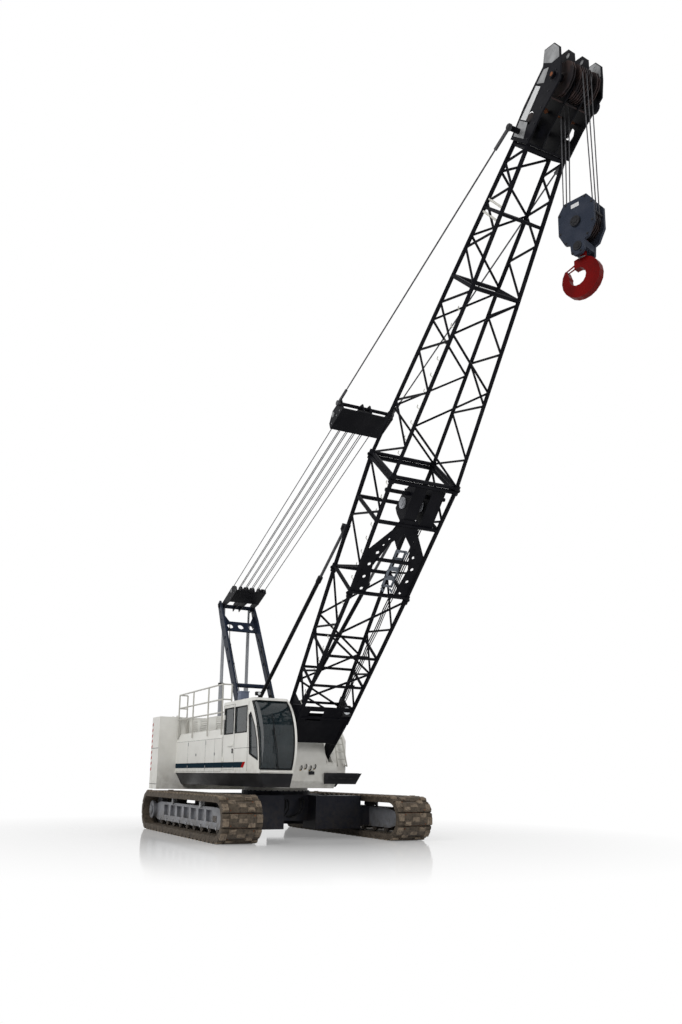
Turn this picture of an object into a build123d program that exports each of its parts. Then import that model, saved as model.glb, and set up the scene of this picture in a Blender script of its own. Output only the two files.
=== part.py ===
from build123d import *
from math import atan2, cos, degrees, hypot, pi, radians, sin
import os

os.makedirs("parts", exist_ok=True)

# Crawler crane with a lattice boom, in millimetres.
# +X is forward, +Y is the machine's left, +Z is up, and Z = 0 is the ground.
# The slewing axis is the Z axis.

# ---- driving dimensions: crawlers ----
crawler_gauge = 4286.0  # between the centres of the two tracks
shoe_width = 914.0
crawler_length = 6840.0
crawler_height = 1030.0
seat_gap = 0.3  # between faces of separate pieces that rest on each other
shoe_count = 50
shoe_thickness = 46.0
lug_height = 42.0
link_depth = 70.0
shoe_gap = 26.0
shoe_shift = 50.0  # of the first shoe along the loop, so that whole shoes lie on the ground at both ends
outer_lug_share = 0.62
shoe_end_width = 150.0
roller_count = 9
roller_radius = 115.0
roller_width = 260.0
frame_width = 430.0
frame_height = 470.0
frame_recess_depth = 70.0
frame_recess_count = 7
idler_disc_width = 150.0
sprocket_tooth_count = 17

# ---- driving dimensions: car body and slewing ring ----
carbody_half_length = 1100.0
carbody_half_width = 1050.0
carbody_underside = 380.0
carbody_top = 1000.0
axle_reach = 1560.0  # front face of the axle boxes, ahead of the slewing axis
axle_length = 760.0
axle_underside = 210.0
axle_inner_end = 420.0
ring_radius = 820.0
ring_height = 90.0

# ---- driving dimensions: upper works ----
deck_underside = 1180.0
deck_top = 1800.0
deck_front = 1960.0
deck_half_width = 770.0
well_half_width = 640.0
well_rear = -3300.0
well_front = 1740.0
well_floor = 1440.0
house_half_width = 1600.0
house_inner = 800.0
house_floor = 1510.0
house_roof = 3000.0
roof_edge = 2380.0  # where the outer wall starts to lean inwards
walkway_height = 2610.0
walkway_width = 350.0
house_rear = -3750.0
right_house_front = 250.0
left_house_front = 800.0
house_wall = 40.0
roof_lean = 110.0
skirt_underside = 1200.0
skirt_lean = 170.0  # how far a skirt draws in towards its lower edge
step_top = 1546.0
step_height = 262.0
cover_top = 2350.0  # front cover of the winch well

weight_rear = -4680.0
weight_half_width = 2130.0
weight_seams = (1050.0, 1190.0, 2203.0, 3107.0)
weight_corner = 160.0

cab_rear = 290.0
cab_toe = 2860.0  # foot of the windshield
cab_nose = 3040.0  # its foremost point
cab_brow = 2380.0  # front edge of the roof
nose_height = 2250.0
cab_inner = 775.0
cab_floor = 1510.0
cab_roof = 3240.0
cab_wall = 45.0
far_pillar_width = 65.0
glass_thickness = 8.0
door_rear = 345.0
door_front = 1125.0
door_sill = 1590.0
door_head = 3130.0
door_window_width = 660.0
door_window_height = 625.0
window_height = 2765.0  # middle of the side windows
door_gap = 6.0
glass_inset = 18.0

# ---- driving dimensions: gantry ----
gantry_top_x = -3530.0
gantry_top_z = 6500.0
gantry_foot_x = -790.0
gantry_foot_z = 2010.0
gantry_half_width = 530.0
gantry_leg_depth = 230.0
gantry_leg_thickness = 60.0
gantry_shaft_radius = 62.0
strut_radius = 52.0
bail_half_width = 463.0
bail_shaft = 850.0
bail_start = 600.0
bail_end = 1250.0

# ---- driving dimensions: boom ----
foot_x = 1600.0
foot_z = 1930.0
boom_angle = 47.25
foot_half_width = 620.0
foot_pin_radius = 55.0
foot_boss_radius = 120.0
chord_radius = 50.0
top_chord_radius = 44.0
lacing_radius = 26.0
batten_radius = 34.0
# station along the boom, width and depth between chord centres
foot_station = (1300.0, 1290.0, 560.0)
frame_station = (5000.0, 1360.0, 1060.0)
joint_station = (7700.0, 1490.0, 1170.0)
neck_station = (11470.0, 1030.0, 830.0)
tip_station = (13880.0, 780.0, 455.0)
stop_bay_end = 6750.0
head_shaft_along = 14930.0
head_shaft_above = -300.0
head_sheave_radius = 280.0
head_shaft_radius = 58.0
sheave_thickness = 62.0
sheave_rim = 14.0
groove_depth = 24.0
head_half_width = 440.0
fin_eye_along = 15295.0
fin_eye_radius = 28.0
pendant_along = 14030.0
pendant_above = 120.0
pendant_spread = 700.0  # at the bridle
pendant_half_width = 660.0  # at the boom head
pendant_radius = 17.0

# ---- driving dimensions: stops, bridle, block and hook ----
stop_foot_x = -1500.0
stop_foot_z = 2195.0
stop_pin_along = 5860.0
stop_pin_above = 811.0
stop_half_width = 615.0
stop_tube_radius = 50.0
stop_pin_radius = 38.0
stop_tube_wall = 8.0
stop_rod_radius = 34.0
stop_tube_length = 6450.0
stop_rod_inside = 1300.0
bridle_distance = 8500.0
bridle_half_width = 655.0
bridle_start = 8250.0
bridle_end = 8950.0
pendant_start = 8870.0
line_sheave_radius = 175.0
tray_thickness = 16.0
block_drop = 2540.0
block_turn = 16.7  # degrees that the block hangs turned about its plumb line
block_width = 350.0
block_cheek = 50.0
block_sheave_radius = 280.0
block_shaft_drop = 69.0
cross_head_drop = 480.0
cross_head_height = 120.0
fall_radius = 11.0
hook_radius = 335.0
hook_throat = 150.0
hook_thickness = 120.0
shank_radius = 56.0


def unit(angle):
    return Vector(cos(radians(angle)), 0, sin(radians(angle)))


def side_plane(across):
    """A vertical plane facing the machine's right side, at a distance across."""
    return Plane.XZ.offset(-across)


boom_direction = unit(boom_angle)
boom_rise = unit(boom_angle + 90)
foot = Vector(foot_x, 0, foot_z)


def on_boom(along, across, above):
    return foot + boom_direction * along + boom_rise * above + Vector(0, across, 0)


def boom_plane(across):
    """Profiles drawn along the boom: x runs to the tip, y to its rear face."""
    return Plane(origin=on_boom(0, across, 0), x_dir=boom_direction, z_dir=(0, -1, 0))


def bar(start, end, radius, sides=6):
    """A straight tube between two points, drawn as a prism with few sides."""
    with BuildSketch(Plane(origin=start, x_dir=(0, 1, 0), z_dir=end - start)) as section:
        RegularPolygon(radius, sides)
    return extrude(section.sketch, amount=(end - start).length, mode=Mode.PRIVATE)


def bar_across(start, end, radius, sides=6):
    """The same bar where it runs across the machine, along Y."""
    with BuildSketch(Plane(origin=start, x_dir=(1, 0, 0), z_dir=end - start)) as section:
        RegularPolygon(radius, sides)
    return extrude(section.sketch, amount=(end - start).length, mode=Mode.PRIVATE)


def disc(center, radius, thickness, sides=12):
    """A wheel-like plate about an axis across the machine, drawn with few flat sides."""
    with BuildSketch(Plane(origin=center, x_dir=(1, 0, 0), z_dir=(0, -1, 0))) as face:
        RegularPolygon(radius, sides)
    return extrude(face.sketch, amount=thickness / 2, both=True, mode=Mode.PRIVATE)


def pin(center, radius, thickness):
    """A truly round shaft, or the tool for its bore, about an axis across the machine."""
    with BuildSketch(Plane(origin=center, x_dir=(1, 0, 0), z_dir=(0, -1, 0))) as face:
        Circle(radius)
    return extrude(face.sketch, amount=thickness / 2, both=True, mode=Mode.PRIVATE)


def plate(plane, outline, thickness):
    """A flat plate from the corners of its outline, centred on its plane."""
    with BuildSketch(plane) as face:
        with BuildLine():
            Polyline(*outline, close=True)
        make_face()
    return extrude(face.sketch, amount=thickness / 2, both=True, mode=Mode.PRIVATE)


def save(piece, name):
    piece.part.label = name
    export_step(piece.part, f"parts/{name}.step")


# ---- tracks: a fixed loop with its shoes and lugs in its outline ----
pitch_radius = crawler_height / 2 - lug_height - shoe_thickness
loop_straight = crawler_length - crawler_height
loop_arc = pi * pitch_radius
loop_length = 2 * loop_straight + 2 * loop_arc
wheel_height = crawler_height / 2
front_wheel_x = loop_straight / 2


def loop_point(travel, lift):
    """The point of the loop after a travel along it, lifted outwards from its pitch line."""
    travel = travel % loop_length
    reach = pitch_radius + lift
    if travel < loop_straight:
        return (travel - loop_straight / 2, wheel_height + reach)
    travel -= loop_straight
    if travel < loop_arc:
        turn = travel / pitch_radius
        return (front_wheel_x + reach * sin(turn), wheel_height + reach * cos(turn))
    travel -= loop_arc
    if travel < loop_straight:
        return (loop_straight / 2 - travel, wheel_height - reach)
    turn = (travel - loop_straight) / pitch_radius
    return (-front_wheel_x - reach * sin(turn), wheel_height - reach * cos(turn))


shoe_pitch = loop_length / shoe_count


def shoe_outline(lug_share, lug):
    """The outer edge of all shoes: each has a plate and one lug with sloped sides."""
    points = []
    edge = shoe_gap / 2
    lug_half = lug_share * shoe_pitch / 2
    for index in range(shoe_count):
        start = index * shoe_pitch + shoe_shift
        middle = start + shoe_pitch / 2
        points.append(loop_point(start + edge / 2, 0))
        points.append(loop_point(start + edge, shoe_thickness))
        points.append(loop_point(middle - lug_half, shoe_thickness + lug))
        points.append(loop_point(middle + lug_half, shoe_thickness + lug))
        points.append(loop_point(start + shoe_pitch - edge, shoe_thickness))
        points.append(loop_point(start + shoe_pitch - edge / 2, 0))
    return points


def track_band(center, width, lug_share, lug):
    """A slice of the track across its width, with the loop's inside left open."""
    with BuildSketch(side_plane(center)) as band:
        with BuildLine():
            Polyline(*shoe_outline(lug_share, lug), close=True)
        make_face()
        with Locations((0, wheel_height)):
            SlotCenterToCenter(
                loop_straight, 2 * (pitch_radius - link_depth), mode=Mode.SUBTRACT
            )
    return extrude(band.sketch, amount=width / 2, both=True, mode=Mode.PRIVATE)


center_band_width = shoe_width - 2 * shoe_end_width
inner_radius = pitch_radius - link_depth
wheel_radius = inner_radius - seat_gap
roller_pitch = 2 * (front_wheel_x - 2 * roller_radius - 380) / (roller_count - 1)
roller_height = wheel_height - inner_radius + roller_radius + seat_gap
frame_bottom = roller_height
frame_top = frame_bottom + frame_height
frame_half_length = front_wheel_x + 150
wheel_slot = idler_disc_width + 50
roller_slot = roller_width + 120
carrier_radius = (wheel_height + inner_radius - frame_top) / 2 - seat_gap

for side_name, side in (("right", -1), ("left", 1)):
    track_center = side * crawler_gauge / 2
    with BuildPart() as track:
        add(track_band(track_center, center_band_width, 0.34, lug_height))
        for end in (-1, 1):
            band_center = track_center + end * (shoe_width - shoe_end_width) / 2
            add(track_band(band_center, shoe_end_width, outer_lug_share, lug_height / 3))
    save(track, f"track_{side_name}")

    # side frame: a box beam, recessed outside, slotted below for the rollers, forked for the wheels
    with BuildPart() as track_frame:
        outline = (
            (-frame_half_length, frame_bottom + 130),
            (-frame_half_length + 500, frame_bottom),
            (frame_half_length - 500, frame_bottom),
            (frame_half_length, frame_bottom + 130),
            (frame_half_length, frame_top - 130),
            (frame_half_length - 700, frame_top),
            (-frame_half_length + 700, frame_top),
            (-frame_half_length, frame_top - 130),
        )
        add(plate(side_plane(track_center), outline, frame_width))
        recess_pitch = (2 * frame_half_length - 2000) / frame_recess_count
        recess_plane = side_plane(track_center + side * frame_width / 2)
        with BuildSketch(recess_plane) as recesses:
            with Locations((0, frame_bottom + 0.58 * frame_height)):
                with GridLocations(recess_pitch, 0, frame_recess_count, 1):
                    Rectangle(0.72 * recess_pitch, 0.56 * frame_height)
        extrude(recesses.sketch, amount=side * frame_recess_depth, mode=Mode.SUBTRACT)
        for wheel_x in (-front_wheel_x, front_wheel_x):
            add(disc(Vector(wheel_x, track_center, wheel_height),
                     wheel_radius + 30, wheel_slot, 16), mode=Mode.SUBTRACT)
        with Locations((0, track_center, roller_height)):
            Box(2 * front_wheel_x, roller_slot, 2 * (roller_radius + 12), mode=Mode.SUBTRACT)
    save(track_frame, f"track_frame_{side_name}")

    # bottom rollers with two flanges each, and two carrier rollers on top of the side frame
    with BuildPart() as wheels:
        for index in range(roller_count):
            roller_x = (index - (roller_count - 1) / 2) * roller_pitch
            spot = Vector(roller_x, track_center, roller_height)
            add(disc(spot, 0.62 * roller_radius, roller_slot - 2 * seat_gap, 8))
            for edge in (-1, 1):
                add(disc(spot + Vector(0, edge * (roller_width / 2 + 25), 0), roller_radius, 50, 8))
        for carrier_x in (-1150, 1150):
            spot = Vector(carrier_x, track_center, frame_top + seat_gap + carrier_radius)
            add(disc(spot, carrier_radius, roller_width, 8))
        # the front idler
        hub = Vector(front_wheel_x, track_center, wheel_height)
        add(disc(hub, wheel_radius, idler_disc_width, 20))
        add(disc(hub, 0.42 * wheel_radius, wheel_slot - 2 * seat_gap))
    save(wheels, f"track_wheels_{side_name}")

    # the rear drive sprocket, with its gear case outside the side frame
    with BuildPart() as sprocket:
        tooth_points = []
        for tooth in range(sprocket_tooth_count):
            for share, reach in ((0.0, wheel_radius - 46), (0.3, wheel_radius), (0.7, wheel_radius)):
                turn = 2 * pi * (tooth + share) / sprocket_tooth_count
                tooth_points.append((reach * cos(turn) - front_wheel_x, wheel_height + reach * sin(turn)))
        add(plate(side_plane(track_center), tooth_points, idler_disc_width))
        hub = Vector(-front_wheel_x, track_center, wheel_height)
        add(disc(hub, 0.55 * wheel_radius, wheel_slot - 2 * seat_gap))
        gear_face = side * (frame_width / 2 + seat_gap)
        add(disc(hub + Vector(0, gear_face + side * 45, 0), 0.66 * wheel_radius, 90, 16))
        add(disc(hub + Vector(0, gear_face + side * 60, 0), 0.34 * wheel_radius, 120))
    save(sprocket, f"drive_sprocket_{side_name}")


# ---- car body: centre box, four axle boxes reaching into the side frames, slewing ring ----
frame_inner_face = crawler_gauge / 2 - frame_width / 2
axle_height = carbody_top - axle_underside
shoe_inner_edge = crawler_gauge / 2 - shoe_width / 2

with BuildPart() as carbody:
    with BuildSketch(Plane.XY.offset(carbody_underside)):
        with BuildLine():
            Polyline(
                (carbody_half_length, 0.55 * carbody_half_width),
                (0.55 * carbody_half_length, carbody_half_width),
                (-0.55 * carbody_half_length, carbody_half_width),
                (-carbody_half_length, 0.55 * carbody_half_width),
                (-carbody_half_length, -0.55 * carbody_half_width),
                (-0.55 * carbody_half_length, -carbody_half_width),
                (0.55 * carbody_half_length, -carbody_half_width),
                (carbody_half_length, -0.55 * carbody_half_width),
                close=True,
            )
        make_face()
    extrude(amount=carbody_top - carbody_underside)
    for end in (-1, 1):
        for side in (-1, 1):
            box_width = shoe_inner_edge - 30 - axle_inner_end
            with Locations((end * (axle_reach - axle_length / 2),
                            side * (axle_inner_end + box_width / 2),
                            axle_underside + axle_height / 2)):
                Box(axle_length, box_width, axle_height)
            # the narrower tongue passes between the two runs of the track
            tongue_start = shoe_inner_edge - 60
            tongue_width = frame_inner_face - seat_gap - tongue_start
            with Locations((end * (axle_reach - axle_length / 2),
                            side * (tongue_start + tongue_width / 2),
                            (frame_bottom + frame_top) / 2)):
                Box(axle_length - 90, tongue_width, frame_height - 40)
    with BuildSketch(Plane.XY.offset(carbody_top)):
        RegularPolygon(ring_radius + 60, 24)
    extrude(amount=ring_height)
save(carbody, "carbody")


# ---- main deck: two side girders, a floor between them, and the lugs for boom, gantry and stops ----
ring_top = carbody_top + ring_height
stop_lug_width = 40.0
foot_lug_thickness = 36.0


def lug(center_x, center_z, across, half_base, half_top, thickness):
    """An upright lug plate that stands in the deck's well or on its girder."""
    outline = (
        (center_x - half_base, well_floor - 20),
        (center_x + half_base, well_floor - 20),
        (center_x + half_base, deck_top + 10),
        (center_x + half_top, center_z + half_top),
        (center_x - half_top, center_z + half_top),
        (center_x - half_base, deck_top + 10),
    )
    return plate(side_plane(across), outline, thickness)


with BuildPart() as deck:
    deck_outline = (
        (house_rear, deck_underside),
        (house_rear, deck_top),
        (deck_front - 60, deck_top),
        (deck_front, deck_top - 80),
        (deck_front, deck_underside + 160),
        (deck_front - 160, deck_underside),
    )
    add(plate(side_plane(0), deck_outline, 2 * deck_half_width))
    with BuildSketch(Plane.XY.offset(deck_top)) as well:
        with Locations(((well_front + well_rear) / 2, 0)):
            Rectangle(well_front - well_rear, 2 * well_half_width)
    extrude(well.sketch, amount=well_floor - deck_top, mode=Mode.SUBTRACT)
    with Locations((0, 0, ring_top + seat_gap)):
        Cylinder(ring_radius, deck_underside + 10 - ring_top - seat_gap,
                 align=(Align.CENTER, Align.CENTER, Align.MIN))
    for side in (-1, 1):
        for lug_shift in (-75, 75):
            lug_across = side * foot_half_width + lug_shift
            add(lug(foot_x, foot_z, lug_across, 330, 110, foot_lug_thickness))
        add(disc(Vector(foot_x, side * foot_half_width, foot_z), foot_pin_radius, 186))
        gantry_lug_across = gantry_half_width + gantry_leg_thickness / 2 + seat_gap + 25
        add(lug(gantry_foot_x, gantry_foot_z, side * gantry_lug_across, 230, 90, 50))
        stop_lug_across = stop_half_width + stop_tube_radius + seat_gap + stop_lug_width / 2
        add(lug(stop_foot_x, stop_foot_z, side * stop_lug_across, 200, 70, stop_lug_width))
        pin_center = Vector(stop_foot_x, side * (stop_half_width + 17), stop_foot_z)
        add(disc(pin_center, stop_pin_radius - seat_gap, 2 * stop_tube_radius + 36))
    # the sloped cover that closes the winch well, between the inner lugs of the boom feet
    cover_outline = (
        (deck_front - 330, well_floor - 20), (deck_front - 60, well_floor - 20),
        (deck_front, deck_top - 80), (deck_front - 240, cover_top), (deck_front - 320, cover_top),
    )
    cover_half_width = foot_half_width - 75 - foot_lug_thickness / 2 - 20
    add(plate(side_plane(0), cover_outline, 2 * cover_half_width))
save(deck, "deck")

# ---- dark side skirts under the houses and the cab, and the step box at the left front ----
with BuildPart() as skirts:
    for side, front in ((-1, cab_toe - 20), (1, left_house_front)):
        inner = deck_half_width + seat_gap
        outer = house_half_width - 20
        with BuildSketch(Plane.XY.offset(house_floor - seat_gap)):
            with Locations(((house_rear + front) / 2, side * (inner + outer) / 2)):
                Rectangle(front - house_rear, outer - inner)
        with BuildSketch(Plane.XY.offset(skirt_underside)):
            low_width = outer - skirt_lean - inner
            low_length = front - skirt_lean - house_rear
            with Locations((house_rear + low_length / 2, side * (inner + low_width / 2))):
                Rectangle(low_length, low_width)
        loft(ruled=True)
save(skirts, "side_skirts")


def step_outline(inset):
    """The step box seen from above: beside the deck, and round its front corner."""
    with BuildSketch() as view:
        with BuildLine():
            Polyline(
                (left_house_front + seat_gap, deck_half_width + seat_gap),
                (deck_front + seat_gap, deck_half_width + seat_gap),
                (deck_front + seat_gap, 430), (deck_front + 120 - inset, 430),
                (deck_front + 120 - inset, 1400 - inset), (left_house_front + seat_gap, 1400 - inset),
                close=True,
            )
        make_face()
    return view.sketch


with BuildPart() as step_box:
    with BuildSketch(Plane.XY.offset(step_top)):
        add(step_outline(0))
    with BuildSketch(Plane.XY.offset(step_top - step_height)):
        add(step_outline(110))
    loft(ruled=True)
save(step_box, "step_box")

# ---- counterweight: three stacked slabs across the tail, with rounded rear corners ----
slab_names = ("counterweight_lower", "counterweight_middle", "counterweight_upper")
for index, slab_name in enumerate(slab_names):
    low = weight_seams[index]
    high = weight_seams[index + 1] - seat_gap
    with BuildPart() as slab:
        with BuildSketch(Plane.XY.offset(low)):
            with Locations(((weight_rear + house_rear - seat_gap) / 2, 0)):
                Rectangle(house_rear - seat_gap - weight_rear, 2 * weight_half_width)
        extrude(amount=high - low)
        fillet(slab.edges().filter_by(Axis.Z).group_by(Axis.X)[0], weight_corner)
    save(slab, slab_name)


# ---- houses: hollow steel covers with a leaning roof edge, a walkway and a raised inner part ----
louver_count = 5
louver_height = 30.0
grille_length = 560.0
grille_places = (-3200.0, -2350.0, -1000.0)


def house(side, front):
    """A house cover, open below, with grilles in the wall of its raised part."""
    section = (
        (side * house_inner, house_floor),
        (side * house_half_width, house_floor),
        (side * house_half_width, roof_edge),
        (side * (house_half_width - roof_lean), walkway_height),
        (side * (house_half_width - walkway_width), walkway_height),
        (side * (house_half_width - walkway_width), house_roof),
        (side * house_inner, house_roof),
    )
    with BuildPart(mode=Mode.PRIVATE) as cover:
        with BuildSketch(Plane.YZ.offset(house_rear)):
            with BuildLine():
                Polyline(*section, close=True)
            make_face()
        extrude(amount=front - house_rear)
        offset(amount=-house_wall, openings=cover.faces().sort_by(Axis.Z)[0])
        with BuildSketch(side_plane(side * (house_half_width - walkway_width))) as slots:
            for grille_x in grille_places:
                with Locations((grille_x, (walkway_height + house_roof) / 2)):
                    with GridLocations(0, 2 * louver_height, 1, louver_count):
                        Rectangle(grille_length, louver_height)
        extrude(slots.sketch, amount=side * house_wall / 3, mode=Mode.SUBTRACT)
    return cover.part


with BuildPart() as machinery_house:
    add(house(-1, right_house_front))
save(machinery_house, "machinery_house")

with BuildPart() as engine_house:
    add(house(1, left_house_front))
save(engine_house, "engine_house")

with BuildPart() as engine_block:
    with Locations((-2300, 1200, house_floor)):
        Box(1500, 620, 900, align=(Align.CENTER, Align.CENTER, Align.MIN))
save(engine_block, "engine_block")

with BuildPart() as exhaust:
    stack_spot = (-2500, 1130, house_roof + seat_gap)
    with Locations(stack_spot):
        Box(620, 360, 150, align=(Align.CENTER, Align.CENTER, Align.MIN))
    with BuildSketch(Plane.XY.offset(house_roof + 140)):
        with Locations((-2500, 1130)):
            RegularPolygon(75, 12)
    extrude(amount=420)
save(exhaust, "exhaust_stack")


# ---- cab: a hollow shell with a leaning, curved front and cut windows ----
cab_center = -(house_half_width + cab_inner) / 2
cab_width = house_half_width - cab_inner


def cab_outline(inset):
    """The cab's side view, drawn inwards from its outer skin by an inset."""
    low = cab_floor + inset
    high = cab_roof - inset
    with BuildSketch(side_plane(cab_center)) as view:
        with BuildLine():
            Polyline((cab_brow - inset, high), (cab_rear + inset, high), (cab_rear + inset, low),
                     (cab_toe - inset, low))
            ThreePointArc((cab_toe - inset, low), (cab_nose - inset, nose_height), (cab_brow - inset, high))
        make_face()
    return view.sketch


def cab_box(inset):
    """The cab's whole volume, with its skin drawn inwards by an inset."""
    return extrude(cab_outline(inset), amount=cab_width / 2 - inset, both=True, mode=Mode.PRIVATE)


windshield_low = cab_floor + 85
windshield_high = cab_roof - 90


def window_cuts(shrink):
    """The tools that cut the windows, or with a shrink of one gap the panes that fill them."""
    cuts = []
    # the windshield wraps round the near corner, back to the slim curved pillar
    with BuildSketch(side_plane(-house_half_width - 50)) as wrap:
        with BuildLine():
            Line((2290 + shrink, windshield_high - shrink), (cab_nose + 200, windshield_high - shrink))
            Line((cab_nose + 200, windshield_high - shrink), (cab_nose + 200, windshield_low + shrink))
            Line((cab_nose + 200, windshield_low + shrink), (cab_toe + shrink, windshield_low + shrink))
            ThreePointArc((cab_toe + shrink, windshield_low + shrink), (2775 + shrink, 2217),
                          (2290 + shrink, windshield_high - shrink))
        make_face()
    wrap_width = 50 + cab_width - far_pillar_width - shrink
    cuts.append(extrude(wrap.sketch, amount=-wrap_width, mode=Mode.PRIVATE))
    with BuildSketch(side_plane(-house_half_width)) as side_view:
        with BuildLine():
            Polyline((2110, 2840), (2215, 2900), (2500, 2560), (2662, 2217), (2735, 1800), (2200, 1945),
                     close=True)
        make_face()
        if shrink > 0:
            offset(amount=-shrink, kind=Kind.INTERSECTION)
        with Locations((1573, window_height)):
            Rectangle(810 - 2 * shrink, 613 - 2 * shrink)
    cuts.append(extrude(side_view.sketch, amount=-2 * cab_wall, mode=Mode.PRIVATE))
    with BuildSketch(side_plane(-cab_inner)) as inner_view:
        with Locations((1500, window_height - 60)):
            Rectangle(1300 - 2 * shrink, 620 - 2 * shrink)
    cuts.append(extrude(inner_view.sketch, amount=2 * cab_wall, mode=Mode.PRIVATE))
    return cuts


with BuildPart() as cab:
    add(cab_box(0))
    chamfer(cab.edges().filter_by(Axis.Y).sort_by(Axis.Z)[-2:], 50)
    add(cab_box(cab_wall), mode=Mode.SUBTRACT)
    add(window_cuts(0), mode=Mode.SUBTRACT)
    with BuildSketch(side_plane(-house_half_width)) as doorway:
        with Locations(((door_rear + door_front) / 2, (door_sill + door_head) / 2)):
            Rectangle(door_front - door_rear, door_head - door_sill)
    extrude(doorway.sketch, amount=-2 * cab_wall, mode=Mode.SUBTRACT)
save(cab, "cab_shell")

def pane(opening):
    """The part of one thin shell, inside the cab's skin, that lies in an opening."""
    with BuildPart(mode=Mode.PRIVATE) as sheet:
        add(cab_box(glass_inset))
        add(cab_box(glass_inset + glass_thickness), mode=Mode.SUBTRACT)
        add(opening, mode=Mode.INTERSECT)
    return sheet.part


with BuildPart() as cab_glass:
    for opening in window_cuts(seat_gap):
        add(pane(opening))
save(cab_glass, "cab_glass")

with BuildPart() as seat:
    seat_x = 1330.0
    with BuildSketch(side_plane(cab_center)) as profile:
        with BuildLine():
            Polyline(
                (seat_x - 260, cab_floor + 560), (seat_x + 230, cab_floor + 590),
                (seat_x + 230, cab_floor + 470), (seat_x - 200, cab_floor + 440),
                (seat_x - 330, cab_floor + 520), (seat_x - 420, cab_floor + 1180),
                (seat_x - 330, cab_floor + 1190), close=True,
            )
        make_face()
        chamfer(profile.vertices(), 30)
    extrude(profile.sketch, amount=235, both=True)
    with Locations((seat_x, cab_center, cab_floor + cab_wall + seat_gap)):
        Box(330, 330, 430, align=(Align.CENTER, Align.CENTER, Align.MIN))
save(seat, "operator_seat")

with BuildPart() as console:
    for across in (-300, 300):
        console_outline = (
            (seat_x - 150, cab_floor + cab_wall + seat_gap),
            (seat_x + 330, cab_floor + cab_wall + seat_gap),
            (seat_x + 420, cab_floor + 640),
            (seat_x - 150, cab_floor + 700),
        )
        add(plate(side_plane(cab_center + across), console_outline, 110))
        lever_foot = Vector(seat_x + 300, cab_center + across, cab_floor + 620)
        add(bar(lever_foot, lever_foot + Vector(30, 0, 190), 16, 8))
save(console, "cab_console")

handle_height = 2165.0
hinge_radius = 16.0
hinge_x = door_rear - 12
hinge_y = -house_half_width - hinge_radius - seat_gap

with BuildPart() as door:
    with BuildSketch(side_plane(-house_half_width)) as door_face:
        with Locations(((door_rear + door_front) / 2, (door_sill + door_head) / 2)):
            Rectangle(door_front - door_rear - 2 * door_gap, door_head - door_sill - 2 * door_gap)
        with Locations(((door_rear + door_front) / 2, window_height)):
            Rectangle(door_window_width, door_window_height, mode=Mode.SUBTRACT)
    extrude(door_face.sketch, amount=-cab_wall)
    # the long grab bar of the door
    with Locations((door_front - 240, -house_half_width - 14, handle_height)):
        Box(360, 28, 34)
    # two hinges: a barrel beside the rear edge and a leaf that reaches onto the door
    for hinge_z in (door_sill + 260, door_head - 260):
        with Locations((hinge_x, hinge_y, hinge_z)):
            Cylinder(hinge_radius, 120)
        with Locations(((hinge_x + door_rear + 90) / 2, -house_half_width - seat_gap - 6, hinge_z)):
            Box(door_rear + 90 - hinge_x, 12, 110)
        with Locations((door_rear + 60, -house_half_width, hinge_z)):
            Box(60, 10, 110)
save(door, "cab_door")

with BuildPart() as door_glass:
    with BuildSketch(side_plane(-house_half_width + glass_inset)):
        with Locations(((door_rear + door_front) / 2, window_height)):
            Rectangle(door_window_width - 2 * seat_gap, door_window_height - 2 * seat_gap)
    extrude(amount=-glass_thickness)
save(door_glass, "cab_door_glass")

# ---- handrails on the right roof and the grab ladder on the left front ----
rail_radius = 21.0
rail_y = -house_half_width + 15
roof_pitch = (walkway_height - roof_edge) / roof_lean
rail_foot = roof_edge + (15 + rail_radius) * roof_pitch + 2 * seat_gap
rail_heights = (walkway_height + 410, walkway_height + 740, walkway_height + 1125)
rail_posts = (-3690.0, -2335.0, -1010.0, 130.0)
return_y = rail_y + 240.0

with BuildPart() as handrail:
    pieces = []
    for post_x in rail_posts:
        pieces.append(bar(Vector(post_x, rail_y, rail_foot), Vector(post_x, rail_y, rail_heights[-1]),
                          rail_radius))
    for rail_z in rail_heights:
        pieces.append(bar(Vector(rail_posts[0], rail_y, rail_z), Vector(rail_posts[-1], rail_y, rail_z),
                          rail_radius))
        for end_x in (rail_posts[0], rail_posts[-1]):
            pieces.append(bar_across(Vector(end_x, rail_y, rail_z), Vector(end_x, return_y, rail_z),
                                     rail_radius))
    for end_x in (rail_posts[0], rail_posts[-1]):
        pieces.append(bar(Vector(end_x, return_y, walkway_height + seat_gap),
                          Vector(end_x, return_y, rail_heights[-1]), rail_radius))
    add(pieces)
save(handrail, "roof_handrail")

ladder_low = 1720.0
ladder_high = 2470.0
ladder_x = left_house_front + 110

with BuildPart() as ladder:
    pieces = []
    for low_y, high_y in ((1590.0, 1420.0), (1330.0, 1200.0)):
        foot_end = Vector(ladder_x, low_y, ladder_low)
        top_end = Vector(ladder_x, high_y, ladder_high)
        pieces.append(bar(foot_end, top_end, rail_radius))
        for end in (foot_end + Vector(0, 0, 24), top_end - Vector(0, 0, 24)):
            pieces.append(bar(end, end - Vector(110 - seat_gap, 0, 0), rail_radius))
    for rung in range(3):
        share = (rung + 1) / 4
        rung_z = ladder_low + share * (ladder_high - ladder_low)
        pieces.append(bar_across(Vector(ladder_x, 1330 - 130 * share - 12, rung_z),
                                 Vector(ladder_x, 1590 - 170 * share + 12, rung_z), 15))
    add(pieces)
save(ladder, "side_ladder")


# ---- gantry: two box legs, cross tubes, and two tubular rear struts ----
gantry_top = Vector(gantry_top_x, 0, gantry_top_z)
gantry_foot = Vector(gantry_foot_x, 0, gantry_foot_z)
leg_run = gantry_foot - gantry_top
leg_length = leg_run.length
leg_angle = degrees(atan2(leg_run.Z, leg_run.X))


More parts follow.
